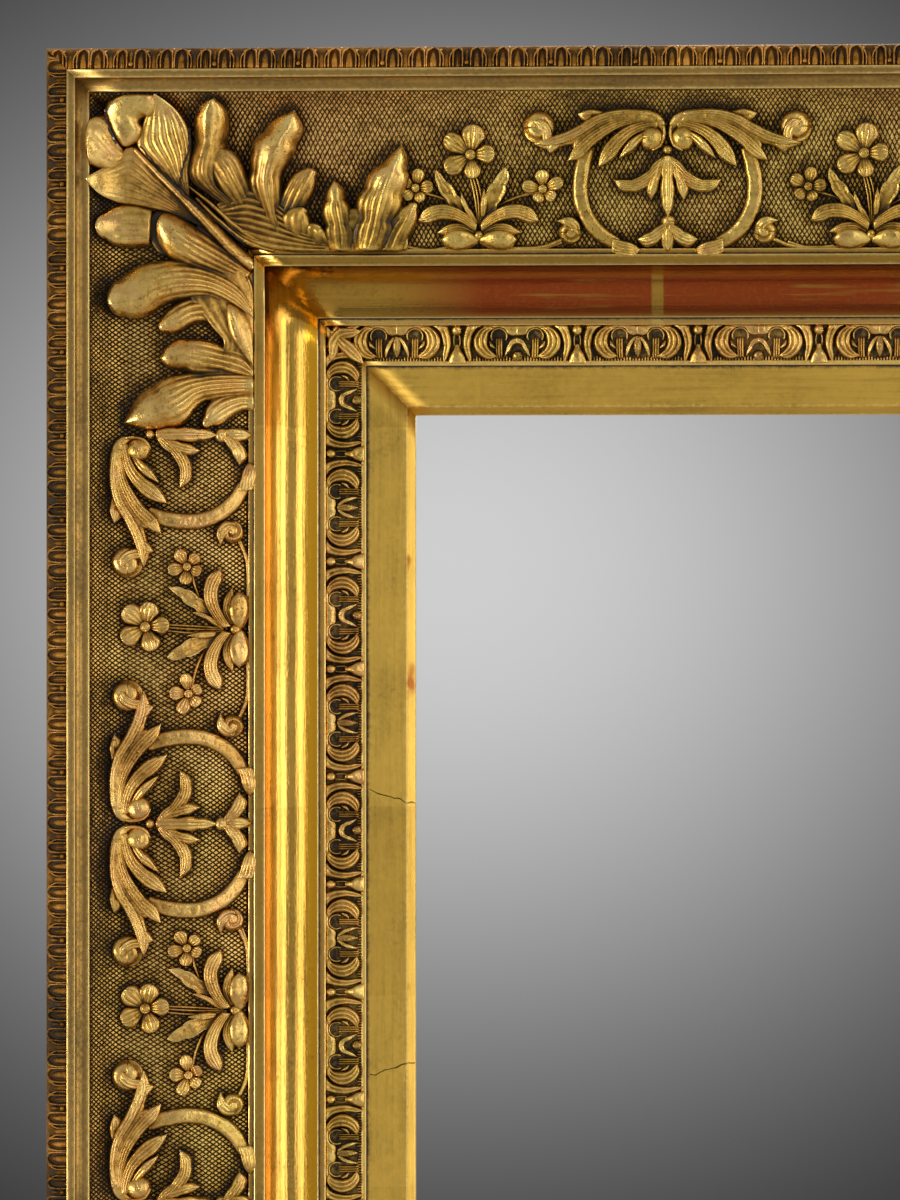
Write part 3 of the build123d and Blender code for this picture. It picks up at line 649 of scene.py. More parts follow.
for name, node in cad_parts.items():
    if name.startswith("back_"):
        look = pine["stile" in name]
    elif name.startswith("lap_pegs"):
        look = beech
    elif name.startswith(("hanger_strap", "turn_button")) and "screws" not in name:
        look = brass
    elif "screws" in name or name.startswith("hanger_ring"):
        look = steel
    else:
        look = ornament
    for holder in node.material_slots:
        holder.material = look


# Ornament

# Leaves of a corner, as their outline and their form. Places are from the outer corner of the frame, along
# the level side and down the upright one.
BIG = dict(dome=6.2, edge=0.8, stations=44)
WEB = dict(dome=1, edge=1, fade=(0.9, 1))
# The folds and the level arm's leaves are given darker tone offsets: partly dirt, partly painted shade where
# less light falls on them.
FOLD = dict(lift=(2.4, 2.6, 2.4), dome=0.6, edge=0.5, veins=0, tone_and_painted_shade=(-0.8, -0.8), stations=18)
CORNER_LEAVES = [
    # webs that join the leaves at their feet
    ("69,65 74,62 80,59 86,60 92,63 97.6,67.6 105,73 113,76.4 / "
     "74,74 80,79 85,81.5 91,83 97,83.6 103,83.8 109,83.8 116,83.6",
     dict(WEB, lift=(3.5, 3.6, 2.6), veins=8, depth=0.9, tone_and_painted_shade=(-0.3, -0.3), stations=50)),
    ("108,79 113.5,76 118,68 124,67 131,66.5 138,66 142.2,64.6 146,76 / "
     "108,84 113,84 118,84 123,84 129,84 135,84 141,84 146,83",
     dict(lift=(2.8, 4.1, 2.8), tone_and_painted_shade=(-0.15, -0.15), stations=44, **WEB)),
    ("62,73 58,80 56,88.6 57,96 59,103.4 63,109 67.6,115 72,121 70,127 65,133 64.6,139 67,145 74,148 / "
     "74,81 78,87 80.6,93 82.4,99 83.6,105 84,111 84,117 84,123 84,129 84,134 84,139 84,143 83,147",
     dict(lift=(3.8, 4.2, 3), veins=5, tone_and_painted_shade=(-0.2, -0.2), stations=70, **WEB)),
    # level arm
    ("83,73.3 70.2,64.6 58,54.3 59.4,44.1 59.8,36 61.4,28.8 66.6,23.4 / "
     "86.6,72.3 78.5,64.6 72,55.5 72.6,47.6 74.6,41 75,33.4 73.2,26.4 / 69.4,22.8",
     dict(lift=(-1.5, 2, 2), veins=5, depth=0.6, fade=(0.3, 0.7), keel=(1.2, -0.3), lobes=3, bite=0.16,
          tone_and_painted_shade=(-0.8, -0.25), **BIG)),
    ("83.5,74 75.3,65 69.1,56.4 65.8,49.6 / 88.6,71.3 84.6,62.5 82,54 76.8,44.4 72.2,42.4 / 66.3,43",
     dict(lift=(-0.5, 4, 4.8), dome=3.2, edge=0.8, depth=0.55, fade=(0.5, 0.9), blunt=0.16, tone_and_painted_shade=(-0.7, -0.2),
          stations=38)),
    ("94,83 88.8,75.4 84.6,65.1 81.6,54.3 82.6,46.1 84.6,39.4 88.6,34.6 94.5,30.3 / "
     "103,83.4 97.4,74.6 96,63.5 97,54.3 99.6,47 102.6,41.8 104.6,36 / 101.4,27.6",
     dict(lift=(-1.5, 2.2, 3), veins=5, depth=0.6, fade=(0.4, 0.75), keel=(1.6, 0.2), lobes=4, bite=0.16,
          tone_and_painted_shade=(-0.8, 0.05), **BIG)),
    ("91,72 93.8,64.5 96.4,58.4 100.6,52.8 104.6,50.8 / 101,71 105.8,65.4 108.4,60.4 109.8,55.6 / 108.8,51.2",
     dict(lift=(0, 2.4, 2.4), dome=4, edge=0.6, depth=0.5, fade=(0.5, 0.9), blunt=0.14, tone_and_painted_shade=(-0.8, -0.25))),
    ("97,81 94.6,74 95.2,69 98.6,66.2 / 106,81 107.6,76 107,71 / 104.6,66.4",
     dict(lift=(0.5, 2.8, 2.6), dome=3.6, edge=0.6, veins=3, depth=0.5, blunt=0.2, tone_and_painted_shade=(-0.8, -0.25))),
    ("102,82.5 103.4,77 105.4,72.4 109.6,72.6 / 118,83 115.8,81 / 113.2,76.4",
     dict(lift=(0.5, 2.8, 2.6), dome=3.4, edge=0.6, veins=3, depth=0.5, blunt=0.2, tone_and_painted_shade=(-0.8, -0.25))),
    ("112.6,83.5 112,76 111.4,67 113,60.6 / 126,83.5 125.6,74 123.8,67.2 120.8,59 / 116.8,55.4",
     dict(lift=(2.6, 2.2, 2.2), dome=4.8, edge=0.6, depth=0.5, fade=(0.4, 0.8), lobes=3, bite=0.16,
          tone_and_painted_shade=(-0.7, -0.25), stations=40)),
    ("121,83.5 123.6,73 125.4,63.4 128,57.4 132.6,51 138.4,46.6 / "
     "139,83.5 142,74 144.6,65.6 146.4,58.4 147.2,52.6 146.6,47 / 144.2,41.4",
     dict(lift=(2.4, 2.2, 3), veins=6, depth=0.55, fade=(0.35, 0.75), keel=(1.6, 0.1), lobes=4, bite=0.16,
          tone_and_painted_shade=(-0.6, 0.05), **BIG)),
    ("133,83.6 136,76.6 140,70.6 144,66.4 / 145,83.4 147,78 149.6,73 150.4,69.4 / 149.6,64.8",
     dict(lift=(2.6, 2.4, 2.4), dome=3.8, edge=0.6, depth=0.5, fade=(0.5, 0.9), blunt=0.16, tone_and_painted_shade=(-0.7, -0.25))),
    # upright arm
    ("43.4,66 39.4,64.8 33.2,64.4 27.3,66.8 23.5,70 / 42.4,82 37.8,82.4 33.7,82.6 29,81.8 24.4,78.8 / "
     "21.2,74.4",
     dict(lift=(2, 1.8, 1.8), dome=4.2, edge=0.6, depth=0.6, fade=(0.4, 0.7), blunt=0.24)),
    ("48,67.4 43.4,69.4 42,74 42.6,79 46,84.8 / 49.6,69.4 48,72.4 47.2,76 48,80.6 51,86", FOLD),
    ("84,91 74.5,83.4 66.1,77.4 58.4,72.4 52.6,69.2 48,68.6 / "
     "78.3,97.4 67,94 57,90.2 50.4,86.6 47,82.6 45.2,77 / 45.8,72.6",
     dict(lift=(-1.5, 3, 3.2), veins=6, depth=0.75, fade=(0.35, 0.7), keel=(1, -0.2), **BIG)),
    ("84,108 78.6,97 69,91 58.6,87.6 48.9,87.6 40,89.6 32.8,93.6 27.6,99 / "
     "84,112 74,106.4 65.9,103 56.9,103.6 51,105 46.2,107.3 42.2,110.1 36.8,111.4 30.4,109.6 / 25.8,104.6",
     dict(lift=(2.4, 2, 2.2), veins=7, depth=0.75, fade=(0.4, 0.75), dome=6.6, edge=0.8, keel=(1.4, 0.35),
          blunt=0.14, stations=60)),
    ("70.4,102.8 61.1,101.8 55,103.8 50.4,106.9 47.5,110.6 / "
     "69.4,114.3 63.5,113 58.8,114.1 55.4,116.2 51.3,117.4 / 46.1,115.4",
     dict(lift=(0.5, 1.8, 1.8), dome=4.2, edge=0.6, depth=0.6, fade=(0.5, 0.85), blunt=0.16)),
    ("66.4,103 66.8,109 70,114.5 74,120 / 73.6,103.4 73.2,109 74.6,114.4 77.6,119.6",
     dict(FOLD, lift=(4.8, 4.8, 3.6), tone_and_painted_shade=(-0.9, -0.9))),
    ("84,132 78,124.5 74.4,119 72.6,113 72.4,107.5 / 84.6,132 84.6,122 83.4,114 80,107.6 / 73.6,103.4",
     dict(lift=(2.8, 3, 3), dome=4, edge=0.6, veins=3, depth=0.4, keel=(1.4, -0.2))),
    ("84,130.8 80,124.5 74.2,122.2 66.9,120.3 61.1,119.3 55,119 49.3,122.6 / "
     "84,137.7 73.3,136 65.9,134.8 58.6,134 52.6,132 48.9,130.6 / 46.6,127.4",
     dict(lift=(2.4, 2, 1.8), dome=4.8, edge=0.6, veins=5, depth=0.75, fade=(0.35, 0.75), lobes=3, bite=0.12,
          stations=44)),
    ("84,140.6 75.7,140.6 69.2,142.6 65.5,145.8 64,150.4 / 84,148.5 79.2,148.8 75.6,151 71,154.2 / 63.6,154.8",
     dict(lift=(2.4, 2, 1.8), dome=3.8, edge=0.6, depth=0.5, blunt=0.14)),
    ("84,131.5 70.8,132.2 58.6,132.6 51.6,134.3 45.6,136.6 38.6,141.6 34.6,148.1 / "
     "84,143.6 73.6,143.6 65.8,145.4 62,147.6 57.5,153 50.4,156.2 41.4,156.4 / 32,154",
     dict(lift=(2.4, 2, 2.2), veins=7, depth=0.75, fade=(0.4, 0.75), dome=6.4, edge=0.8, keel=(1.4, 0.3),
          lobes=3, bite=0.12, stations=60)),
    # fans beside the stem, and the rolled tip
    ("55,63 46.6,51.6 37.4,40.4 39.6,33.2 42.4,27.4 45.4,21.2 / "
     "58.4,62.5 58.6,51.3 59.8,43 58.9,36 54.8,28.4 45.9,21.4",
     dict(lift=(3.6, 3.8, 4), veins=7, depth=0.4, fade=(0.5, 0.95), dome=1.7, edge=1.2, stations=60)),
    ("64,71.4 53.8,61.8 45,52.2 34.4,41.8 29.4,45.6 23.6,51 17.8,55.2 / "
     "63.5,74.5 55,70.5 46.5,67.6 38.3,65.9 30,64.5 22.6,61.1 18.3,56.2",
     dict(lift=(3.6, 3.8, 3.8), veins=8, depth=0.4, fade=(0.5, 0.9), dome=1.7, edge=1.2, stations=60)),
    ("31.7,41.8 28,37 26,31.7 24.8,26.6 30,22.4 37.8,21.3 / "
     "34.2,42 38.4,39.6 40.5,35.3 39.2,31.7 41.4,30.3 44.3,30.7 46.3,26.7 / 45.4,21.6",
     dict(lift=(4.2, 3.6, 1.5), veins=0, dome=4.8, edge=1.2, stations=44)),
    ("32.6,43.6 30.2,39 28,34.4 26.2,29.6 21,29.8 / "
     "32.1,47.4 30.4,50.7 27.5,52.6 23.7,51.3 20,49.7 17.5,44.3 / 17.4,35.8",
     dict(lift=(3.6, 3, 0.8), depth=0.35, dome=4, edge=1.2, stations=40)),
]
# How much wider a corner is on the ground than where it was read, and where it meets the cove.
DEEPER = (0.0205, 0.0135)
COVE_AT = (84.8, 84.4)
CORNER_STEMS = [
    "36.4,42.8,2.8,6.2 45.5,52.2,4.2,7 55.4,61.8,5.4,7.8 66,73,6.4,8 76,83.6,6.6,7.2 84,90,5.6,5.4",
    "57,57,1.8,4.4 66,64,2.6,5.2 76.3,73.3,2.8,5.2 86,79.8,2.8,4.6 95.2,82.6,2.4,3.6 112,83.4,2,2.4",
    "61,62.5,2.4,4.6 70,71.5,3,5.4 80,79.5,3.2,5 92,83.2,2.6,3.4",
    "69,79.5,2.2,4.8 76,87,2.8,4.8 81.5,96,2.8,4.2 83.4,112,2.2,3.2 83.6,138,2,2.2",
]
# Cracks in the top left corner.
CRACK_WIDTH = 0.8
CRACKS = [
    "57.3,23 58.9,35.8 58.4,44.1 55.8,51.3 55.3,60.5 60.9,65.1 68.6,71.3 76.3,77.5 81,82.1",
    "38.8,41.5 46.5,50.7 55.3,60.5",
    "25,27.1 26.5,33.3 28.6,38.4 29.6,41.5",
]


def corner_acanthus():
    r = Relief()
    for outline, form in CORNER_LEAVES:
        r.leaf(outline, **form)
    for path in CORNER_STEMS:
        r.strand(path)
    return r


def scroll_cartouche(mirrored=True):
    r = Relief(mirrored)
    # ring band and its wrapped foot
    r.strand("32.4,42,6.6,3.2 34.8,50,7,3.4 35.8,57.5,7,3.4 35,65,7,3.4 32,71.8,7,3.4 27.2,77,6.8,3.2 "
             "20.6,80.8,5.6,3", flat=True)
    r.leaf("22.6,78 18.6,79.4 14.4,80.6 / 23,84.8 18.4,86 14,86 / 10.8,83.2",
           lift=(2, 2.4, 1.2), dome=2.4, veins=5, depth=0.4, fade=(0.7, 1), stations=20)
    # arch of the scroll with its tooth, and the leaves that flow out of it
    r.leaf("0.8,36 0.9,31.8 2.4,29.4 5.8,27.6 10.4,26.8 16,26.5 22,26.9 27.4,28.2 32.6,30.6 37.6,33.8 43,35.8 "
           "48,37.8 / 2.4,36.4 3.2,34.6 5,33.6 7.8,33.2 11.6,33.6 16,34.6 21,35.4 26,36 30.4,37.4 34.6,40 "
           "41,41 48.6,42.8 / 54.6,40.4",
           lift=(2, 2.2, 1.4), dome=1.6, edge=1, veins=0, stations=60)
    r.leaf("26,27.4 31.5,26.6 / 30,32 34,31.6 / 36.6,28.4",
           lift=(1.8, 2, 1.6), dome=1.2, veins=2, stations=16)
    for outline, veins in (
            ("9,35 13.6,37.4 17.4,41 / 7.4,36.6 10.6,39.8 14.4,43.8 / 19.8,46.6", 2),
            ("4,31 10,31.4 16.6,33.4 22.4,37.4 26.6,42.4 / 4,34.4 8.6,35.2 13.6,37.6 17.8,41.6 22,46.8 / "
             "28.4,50", 4),
            ("6,29.4 13,29.4 20.4,30.6 27.6,33.4 34,37.6 38.4,42 / "
             "6,32.2 12,32.4 18.4,34 24.4,37.2 30,41.4 34.6,46 / 41,47.6", 4),
            ("6,27.9 14,26.8 22,27.1 29,28.9 35,32.2 42,35.5 48,37.7 / "
             "8,30.2 15,29.8 22,30.8 28,33 33.4,36.4 40,39.8 47.6,41.6 / 54.6,40.4", 3)):
        r.leaf(outline, lift=(2.4, 3.2, 2), dome=1.8, edge=0.9, veins=veins, depth=0.45, fade=(0.75, 1),
               stations=44)
    r.leaf("33.6,36.6 35,41 / 38,37.6 38.8,42 / 36.6,46",
           lift=(2.4, 2.2, 1.6), dome=1.4, veins=2, stations=14)
    r.leaf("41,39 44,42 / 46,38 50,40.6 / 48,44.4",
           lift=(2.2, 1.8, 1.4), dome=1.6, veins=3, stations=16)
    # curls
    r.ball(6.4, 38.2, 5.2, 4.2, base=1.4, rings=9, around=26)
    r.strand("1.6,33,2,4 1.3,37,2,4.4 2.6,41,2,4.2 6.2,43.2,1.6,3.4")
    r.coil(52.4, 33.8, 6.6, 4, 40, -1, 1.2)
    r.leaf("46.6,38.5 47.6,33.6 50.6,30.6 / 51.4,39.6 51.6,36.4 53,34.2 / 55,31.4",
           lift=(2.2, 3.4, 3.2), dome=1.6, veins=3, depth=0.4, stations=20)
    r.coil(40, 76.2, 4.8, 3.6, 200, 1, 1.2)
    r.leaf("35.6,77 36,72.6 39.4,70 / 38.6,78.2 40.6,75 / 45.4,71.6",
           lift=(1.6, 2.6, 2), dome=1.6, veins=3, stations=18)
    r.strand("43.6,79,2.2,2.2 50,81.6,2,2 60,82.4,1.8,1.8 68,81.8,1.4,1.6")
    r.strand("22,84.4,2,1.8 34,83.6,2,1.8 46,83.4,1.6,1.6")
    # palmette and the fan at its foot
    r.leaf("1.6,45 5,47.6 8.6,51.6 12.4,54.2 17,55 / 1,50 4.6,55.6 8.6,58.6 13,60 18.6,59.6 / 22,55",
           lift=(2.4, 2.8, 2), dome=2.2, veins=5, depth=0.5, fade=(0.8, 1), lobes=3, bite=0.14, stations=44)
    r.leaf("0.8,47 2,53 3.4,58.4 / 5.4,48.6 7.4,53.5 8.8,59 / 6.6,63.4",
           lift=(2.6, 2.8, 2), veins=3, depth=0.5, lobes=2, bite=0.14)
    r.leaf("0.6,71 3.6,73.4 8,76 / 0.6,77.4 3.6,80.2 8,82.4 / 12.6,79",
           lift=(2, 2.2, 1.6), depth=0.4, lobes=2, bite=0.14, stations=28)
    r.mirrored = False
    r.leaf("-2.2,45.6 -3,52 -3.1,58.6 -2.6,64.6 / 2.2,45.6 3,52 3.1,58.6 2.8,64.6 / 0.2,70.4",
           lift=(3, 3.4, 2.6), dome=1.9, veins=3, depth=0.5, fade=(0.8, 1), lobes=3, bite=0.16, stations=44)
    r.ball(0, 43, 2.1, 3, base=1.8, around=12)
    r.ball(0.3, 72, 3, 2.8, base=1.4, around=16)
    r.leaf("-2,73 -2.8,77 -2,82 / 2,73 2.8,77 2,82 / 0,84.2",
           lift=(2, 2, 1.4), dome=1.6, veins=3, stations=18)
    return r


def flower_spray(heart, petals):
    r = Relief()
    x, y = heart
    for aside in (-1.2, 0, 1.4):
        r.strand([(aside * 0.4, 72.6, 1.4, 2.2), (aside, 64, 1.2, 2), (x + aside * 0.8, y + 6, 1, 1.8)])
    for side, far in ((-1, 24), (1, 25.4)):
        r.strand([(side * 1.2, 72, 2, 2.2), (side * 8, 65.6, 1.6, 2), (side * 16, 61.8, 1.5, 1.9),
                  (side * far, 59.8, 1.4, 1.8)])
    # toothed blades
    r.leaf("-1.2,73 -6,64.6 -10.6,57.6 -14,54 / -4,73.4 -10.6,66.4 -15.6,60 -17.6,55 / -17.2,50.6",
           lift=(1.4, 3, 2.6), dome=-1.5, edge=0.9, veins=0, keel=(1, 0.1), lobes=4, bite=0.24, stations=44)
    r.leaf("0.6,72 -2.6,67.4 -5,63.4 / -2.6,72 -5.8,68 -7.4,64 / -7,60",
           lift=(1.4, 2, 2), dome=1.4, veins=2, lobes=2, bite=0.2, stations=22)
    r.leaf("0.8,72 2.2,64.6 4.6,57.4 7.6,53.4 / 3.6,72.4 9,64 12,57 12.6,52.8 / 11.4,49.8",
           lift=(1.4, 3, 2.6), dome=-1.5, edge=0.9, veins=0, keel=(1, -0.1), lobes=3, bite=0.22, stations=40)
    r.leaf("0.6,70 0.8,63.6 / 3.4,69 4,63 / 2.4,58.4",
           lift=(1.4, 2, 2), dome=1.4, veins=2, stations=18)
    # curled leaves, and the bow at the foot
    r.mirrored = True
    r.leaf("0.6,72 5.4,68 10.6,65.4 17,64.8 22,66.4 / 1.4,76 6,73 10.6,71.2 16,70.8 20.6,72.4 / 25,71.6",
           lift=(1.8, 3.2, 1.8), dome=2.4, edge=0.9, veins=5, depth=0.5, fade=(0.75, 1), stations=40)
    r.leaf("1.6,75.4 7.4,72.2 13,72.8 / 2.4,78 7.6,76.6 12,77.4 / 17.4,76.2",
           lift=(1.4, 1.8, 1.2), dome=1.6, depth=0.4, stations=24)
    r.leaf("0.4,78 3.6,75.8 8.6,74.8 13,76 / 0.4,80.6 4,82.2 9,83 13.4,82 / 15.6,79",
           lift=(2, 2.6, 2), dome=2.4, veins=0, edge=1, stations=24)
    r.strand("13,82,2,2 20,83,1.8,1.8 27,82.2,1.6,1.8 34,80,1.4,1.6")
    r.mirrored = False
    r.ball(0, 77.6, 2.6, 3, base=1.2, around=14)
    # flowers
    r.flower(x, y, petals, 2.4)
    r.flower(-25.8, 58, ((-78, 8, 5), (-6, 7.4, 5), (66, 6.2, 4.6), (138, 6.6, 4.6), (210, 8, 5)), 1.9)
    r.flower(26.4, 58.6, ((-170, 8.6, 4.9), (-92, 7.8, 5.4), (-22, 9, 5), (41, 6.4, 4.6), (117, 5.8, 4.6)), 1.9)
    return r


def edge_period():
    """One repeat of the outer run: along, and across the round from its outer lip to the fillet."""
    r = Relief()
    along, across = np.meshgrid(np.linspace(-0.5, 0.5, 36), np.linspace(0, 1, 13), indexing="ij")
    r.patch(along * EDGE_REPEAT, across * RUN_ACROSS, 1.5 - 0.9 * ease(0.25, 0.5, across))
    at = -EDGE_REPEAT / 2
    for kind, width in (("arch", 6.3), ("reed", 4.6), ("point", 4.6), ("drop", 2.6), ("arch", 5.6),
                        ("reed", 5), ("arch", 5.7)):
        s, half = at + width / 2, width / 2 - 0.4
        at += width
        if kind == "drop":
            r.ball(s, 13, 1.3, 1.4, base=0.6, around=12)
            r.leaf([(s - 0.5, 12), (s - 0.9, 9), (s, 5.6)], [(s + 0.5, 12), (s + 0.9, 9), (s, 5.6)],
                   lift=(0.6, 0.7, 0.7), dome=0.9, edge=0.2, veins=0, stations=12)
            continue
        top = {"arch": 4.6, "reed": 6.2, "point": 5.2}[kind]
        legs, flare = (0.75, 0.6) if kind == "reed" else (1, 0)
        for side in (-1, 1):
            leg, shoulder, tip = (s + side * f * half for f in (legs, 0.8 + flare, 0.1 + 1.6 * flare))
            r.strand([(leg, 15.1, 0.9, 2), (leg, 10.4, 1, 2.4), (shoulder, 7, 1.2, 2.5), (tip, top, 1.3, 1.9)])
        r.leaf([(s - 0.6 * half, 15), (s - 0.5 * half, 10), (s, top + 2)],
               [(s + 0.6 * half, 15), (s + 0.5 * half, 10), (s, top + 2)],
               lift=(0.5, 0.6, 0.5), dome=0.9, edge=0.2, veins=3 if kind == "point" else 0, depth=0.35,
               fade=(0.8, 1), stations=16)
    return r


def sight_period(turned):
    """One repeat of the sight run: a tulip between ribs and curved leaves, then two heads in round hollows."""
    r = Relief(mirrored=True)
    q = SIGHT_REPEAT / 2
    # ribs beside the tulip, and the curved leaf that sweeps away from it
    r.leaf("3.4,113.2 2.5,116.5 2.2,119.5 2.5,122.5 3.5,125.5 / 10,113.2 7.1,116 6.1,119 5.7,122 6,125.4 / "
           "5.4,128.6",
           lift=(1.5, 1.8, 1.1), dome=1.4, edge=0.5, veins=2, depth=0.8, fade=(0.85, 1), stations=24)
    r.leaf("11,113.2 7.5,116.1 6.3,118.8 6.6,122 8.6,125 12.3,126.9 16,125.8 / "
           "15.4,114.3 13.2,116.1 12.6,118.4 12.5,120.4 13,122 14.2,123.6 16,125.6",
           lift=(1.5, 1.9, 1.3), dome=1.7, edge=0.6, veins=3, depth=0.75, fade=(0.8, 1))
    r.leaf("12.6,119.6 13.2,121.6 / 13.4,119.2 14.4,120.8 / 15.8,122.6",
           lift=(1.4, 1.4, 1.1), dome=0.8, veins=0, stations=12)
    # band over the hollows, their rims, and the stems inside
    r.leaf([(10.6, 113.1), (14, 113), (17, 113), (20, 113), (q + 0.2, 113.1)],
           [(12.6, 115.8), (14.4, 114.4), (17, 113.8), (19.4, 114.6), (20.6, 116.6), (22, 117.1),
            (q + 0.2, 117)],
           lift=(1.5, 1.6, 1.6), dome=0.7, edge=0.6, veins=0)
    turn = np.radians(np.linspace(150, 390, 15))
    r.strand([(16.9 + 3.2 * math.cos(a), 117.4 + 3.2 * math.sin(a), 1.1, 2.3) for a in turn])
    for s in (15.9, 16.9, 17.9):
        r.strand([(s, 118, 1, 0.9), (s, 121.6, 1.2, 1.5), (s + 0.1, 126.4, 1.2, 1.6)])
    for i in range(20):
        s = (i + 0.5) * q / 20
        r.strand([(s, 126 + 0.6 * math.sin(5 * i), 0.9, 1.2), (s, 128.8, 1, 1.3)])
    r.mirrored = False
    # arch with a bud on one hand, tongues on the other
    for side, arch in ((1, not turned), (-1, turned)):
        def on(words):
            return [(side * (q - s), u) for s, u in places(words)]

        if arch:
            r.leaf(on("-0.2,117.8 2.4,118.6 4,121.2 5.2,126"),
                   on("-0.2,120.6 1.4,121.3 2.6,123.4 5.2,126"),
                   lift=(1.7, 1.7, 1.2), dome=1.6, edge=0.5, veins=2, depth=0.4, stations=22)
            r.ball(side * q, 125.6, 2.4, 2.4, base=0.3, around=14)
        else:
            r.leaf(on("1.6,117.6 3.8,120 4.9,123 4.7,126.4"),
                   on("0.6,118.6 2,121 3,123.4 4.7,126.4"),
                   lift=(1.6, 1.6, 1.2), dome=1.5, edge=0.5, veins=2, stations=20)
            r.leaf(on("1.2,117.6 1.9,120.5 1.6,123.5 0,126.4"),
                   on("-1.2,117.6 -1.9,120.5 -1.6,123.5 0,126.4"),
                   lift=(1.7, 1.8, 1.4), dome=1.5, edge=0.5, veins=2, stations=18)
    # tulip
    r.ball(0, 115, 2.3, 2.8, base=0.8, around=16)
    for side in (-1, 1):
        r.strand([(side * 0.9, 116.6, 1, 2), (side * 1.3, 119, 0.9, 2), (side * 1.1, 121.6, 1, 2)])
    r.leaf("-0.9,120.8 -1.5,123 -3,125.8 -3.8,128.6 / 0.9,120.8 1.5,123 3,125.8 3.8,128.6",
           lift=(1.3, 2, 1.4), dome=1.4, edge=0.5, veins=0, stations=18)
    return r


def sight_corner():
    """The leaf that covers the mitre of two sight runs. Places are from the outer corner of the bed."""
    r = Relief()
    for outline, lift, stations in (
            ("0.8,7.6 1.6,3.6 4,0.8 9,0.4 / 5.4,10.2 6.4,7.6 8.6,5.6 11.8,4.4 / 14.6,1.6", (1.6, 2, 1.2), 24),
            ("7.6,0.8 3.6,1.6 0.8,4 0.4,9 / 10.2,5.4 7.6,6.4 5.6,8.6 4.4,11.8 / 1.6,14.6", (1.4, 1.8, 1.2), 24),
            ("1.4,1.8 5,9 9.6,13.4 / 1.8,1.4 9,5 13.4,9.6 / 15.4,15.6", (2, 2.4, 1.2), 26)):
        r.leaf(outline, lift=lift, dome=2.2, veins=3, depth=0.6, fade=(0.8, 1), stations=stations)
    return r


ground = {side: [] for side in SIDES}


def on_frieze(side, unit, offset, turn_over=False):
    """A unit of ornament set on the frieze of a side, noted for the dirt and the painted shadow on the ground
    round it.
    """
    verts, faces, cavity = unit
    s = (-verts[:, 0] if turn_over else verts[:, 0]) + offset
    ground[side].append(np.stack([s, verts[:, 1], verts[:, 2]]))
    points = place(side, s, verts[:, 1], frieze(verts[:, 1]) + verts[:, 2])
    return points, faces[:, ::-1] if turn_over else faces, cavity


# broad adds a painted light and shade at the scale of a leaf
cartouche = scroll_cartouche().gathered(broad=0.08)
half_cartouche = scroll_cartouche(mirrored=False).gathered(broad=0.08)
sprays = {
    "top": ((-3.1, 44.6), ((-144, 13, 7), (-82, 12.4, 8.4), (-3, 10, 6.8), (84, 10, 6.2), (148, 12.4, 7.2))),
    "left": ((-1.1, 41), ((-132, 11.8, 7.6), (-60, 11.2, 7.4), (18, 10.4, 7), (96, 10, 6.4), (168, 10.4, 7.2)))}
sprays = {side: flower_spray(*form).gathered(broad=0.08) for side, form in sprays.items()}
for side in SIDES:
    like = LIKE[side]
    copies = [on_frieze(side, cartouche, s) for s in CARTOUCHES[like]]
    copies += [on_frieze(side, half_cartouche, s, s > 0) for s in HALVES[like]]
    ornament_piece(f"scroll_cartouches_{side}", merged(copies), ornament, TURNED[side])
    copies = [on_frieze(side, sprays[like], s, s > 0) for s in SPRAYS[like]]
    ornament_piece(f"flower_sprays_{side}", merged(copies), ornament, TURNED[side])


acanthus = corner_acanthus()
# broad adds a painted light and shade at the scale of a leaf
corner = acanthus.gathered(broad=0.1)
for name, (right, low) in CORNERS.items():
    verts, faces, cavity = corner
    if name == "top_left":
        verts, faces, cavity = merged([corner] + [acanthus.crack(path, CRACK_WIDTH) for path in CRACKS])
    x, y, z = verts.T
    # the places were read in the plane of the outer edge, and the ground lies behind it
    x, y = x + DEEPER[0] * (x - 22), y + DEEPER[1] * (y - 28) - 1.1
    x, y = np.where(x < y, np.minimum(x, COVE_AT[0]), x), np.where(y <= x, np.minimum(y, COVE_AT[1]), y)
    ground["bottom" if low else "top"].append(np.stack([HALF_X - x if right else x - HALF_X, y, z]))
    ground["right" if right else "left"].append(np.stack([HALF_Z - y if low else y - HALF_Z, x, z]))
    points = place_corner(right, low, x, y, frieze(np.minimum(x, y)) + z)
    ornament_piece(f"corner_acanthus_{name}", (points, faces, cavity), corner_ornament, right != low)


def run_of(side, units, repeat, first, pitch):
    """Copies of a repeat along a side, from end to end, the first of them about a given place."""
    low = math.floor((-HALF[side] - first) / pitch)
    high = math.ceil((HALF[side] - first) / pitch)
    copies = []
    for k in range(low, high + 1):
        verts, faces, cavity = units[k % len(units)]
        s = verts[:, 0] * pitch / repeat + first + k * pitch
        copies.append((np.stack([s, verts[:, 1], verts[:, 2]], axis=1), faces, cavity))
    return merged(copies)


def mitred(side, s, u, faces):
    """A run's places drawn in to the mitres, and the faces that are left."""
    reach = HALF[side] - u
    inside = np.abs(s) < reach
    return np.clip(s, -reach, reach), faces[inside[faces].any(axis=1)]


def sight_bed(u):
    (u0, h0), (u1, h1) = SIGHT_BED
    return h0 + (u - u0) * (h1 - h0) / (u1 - u0)


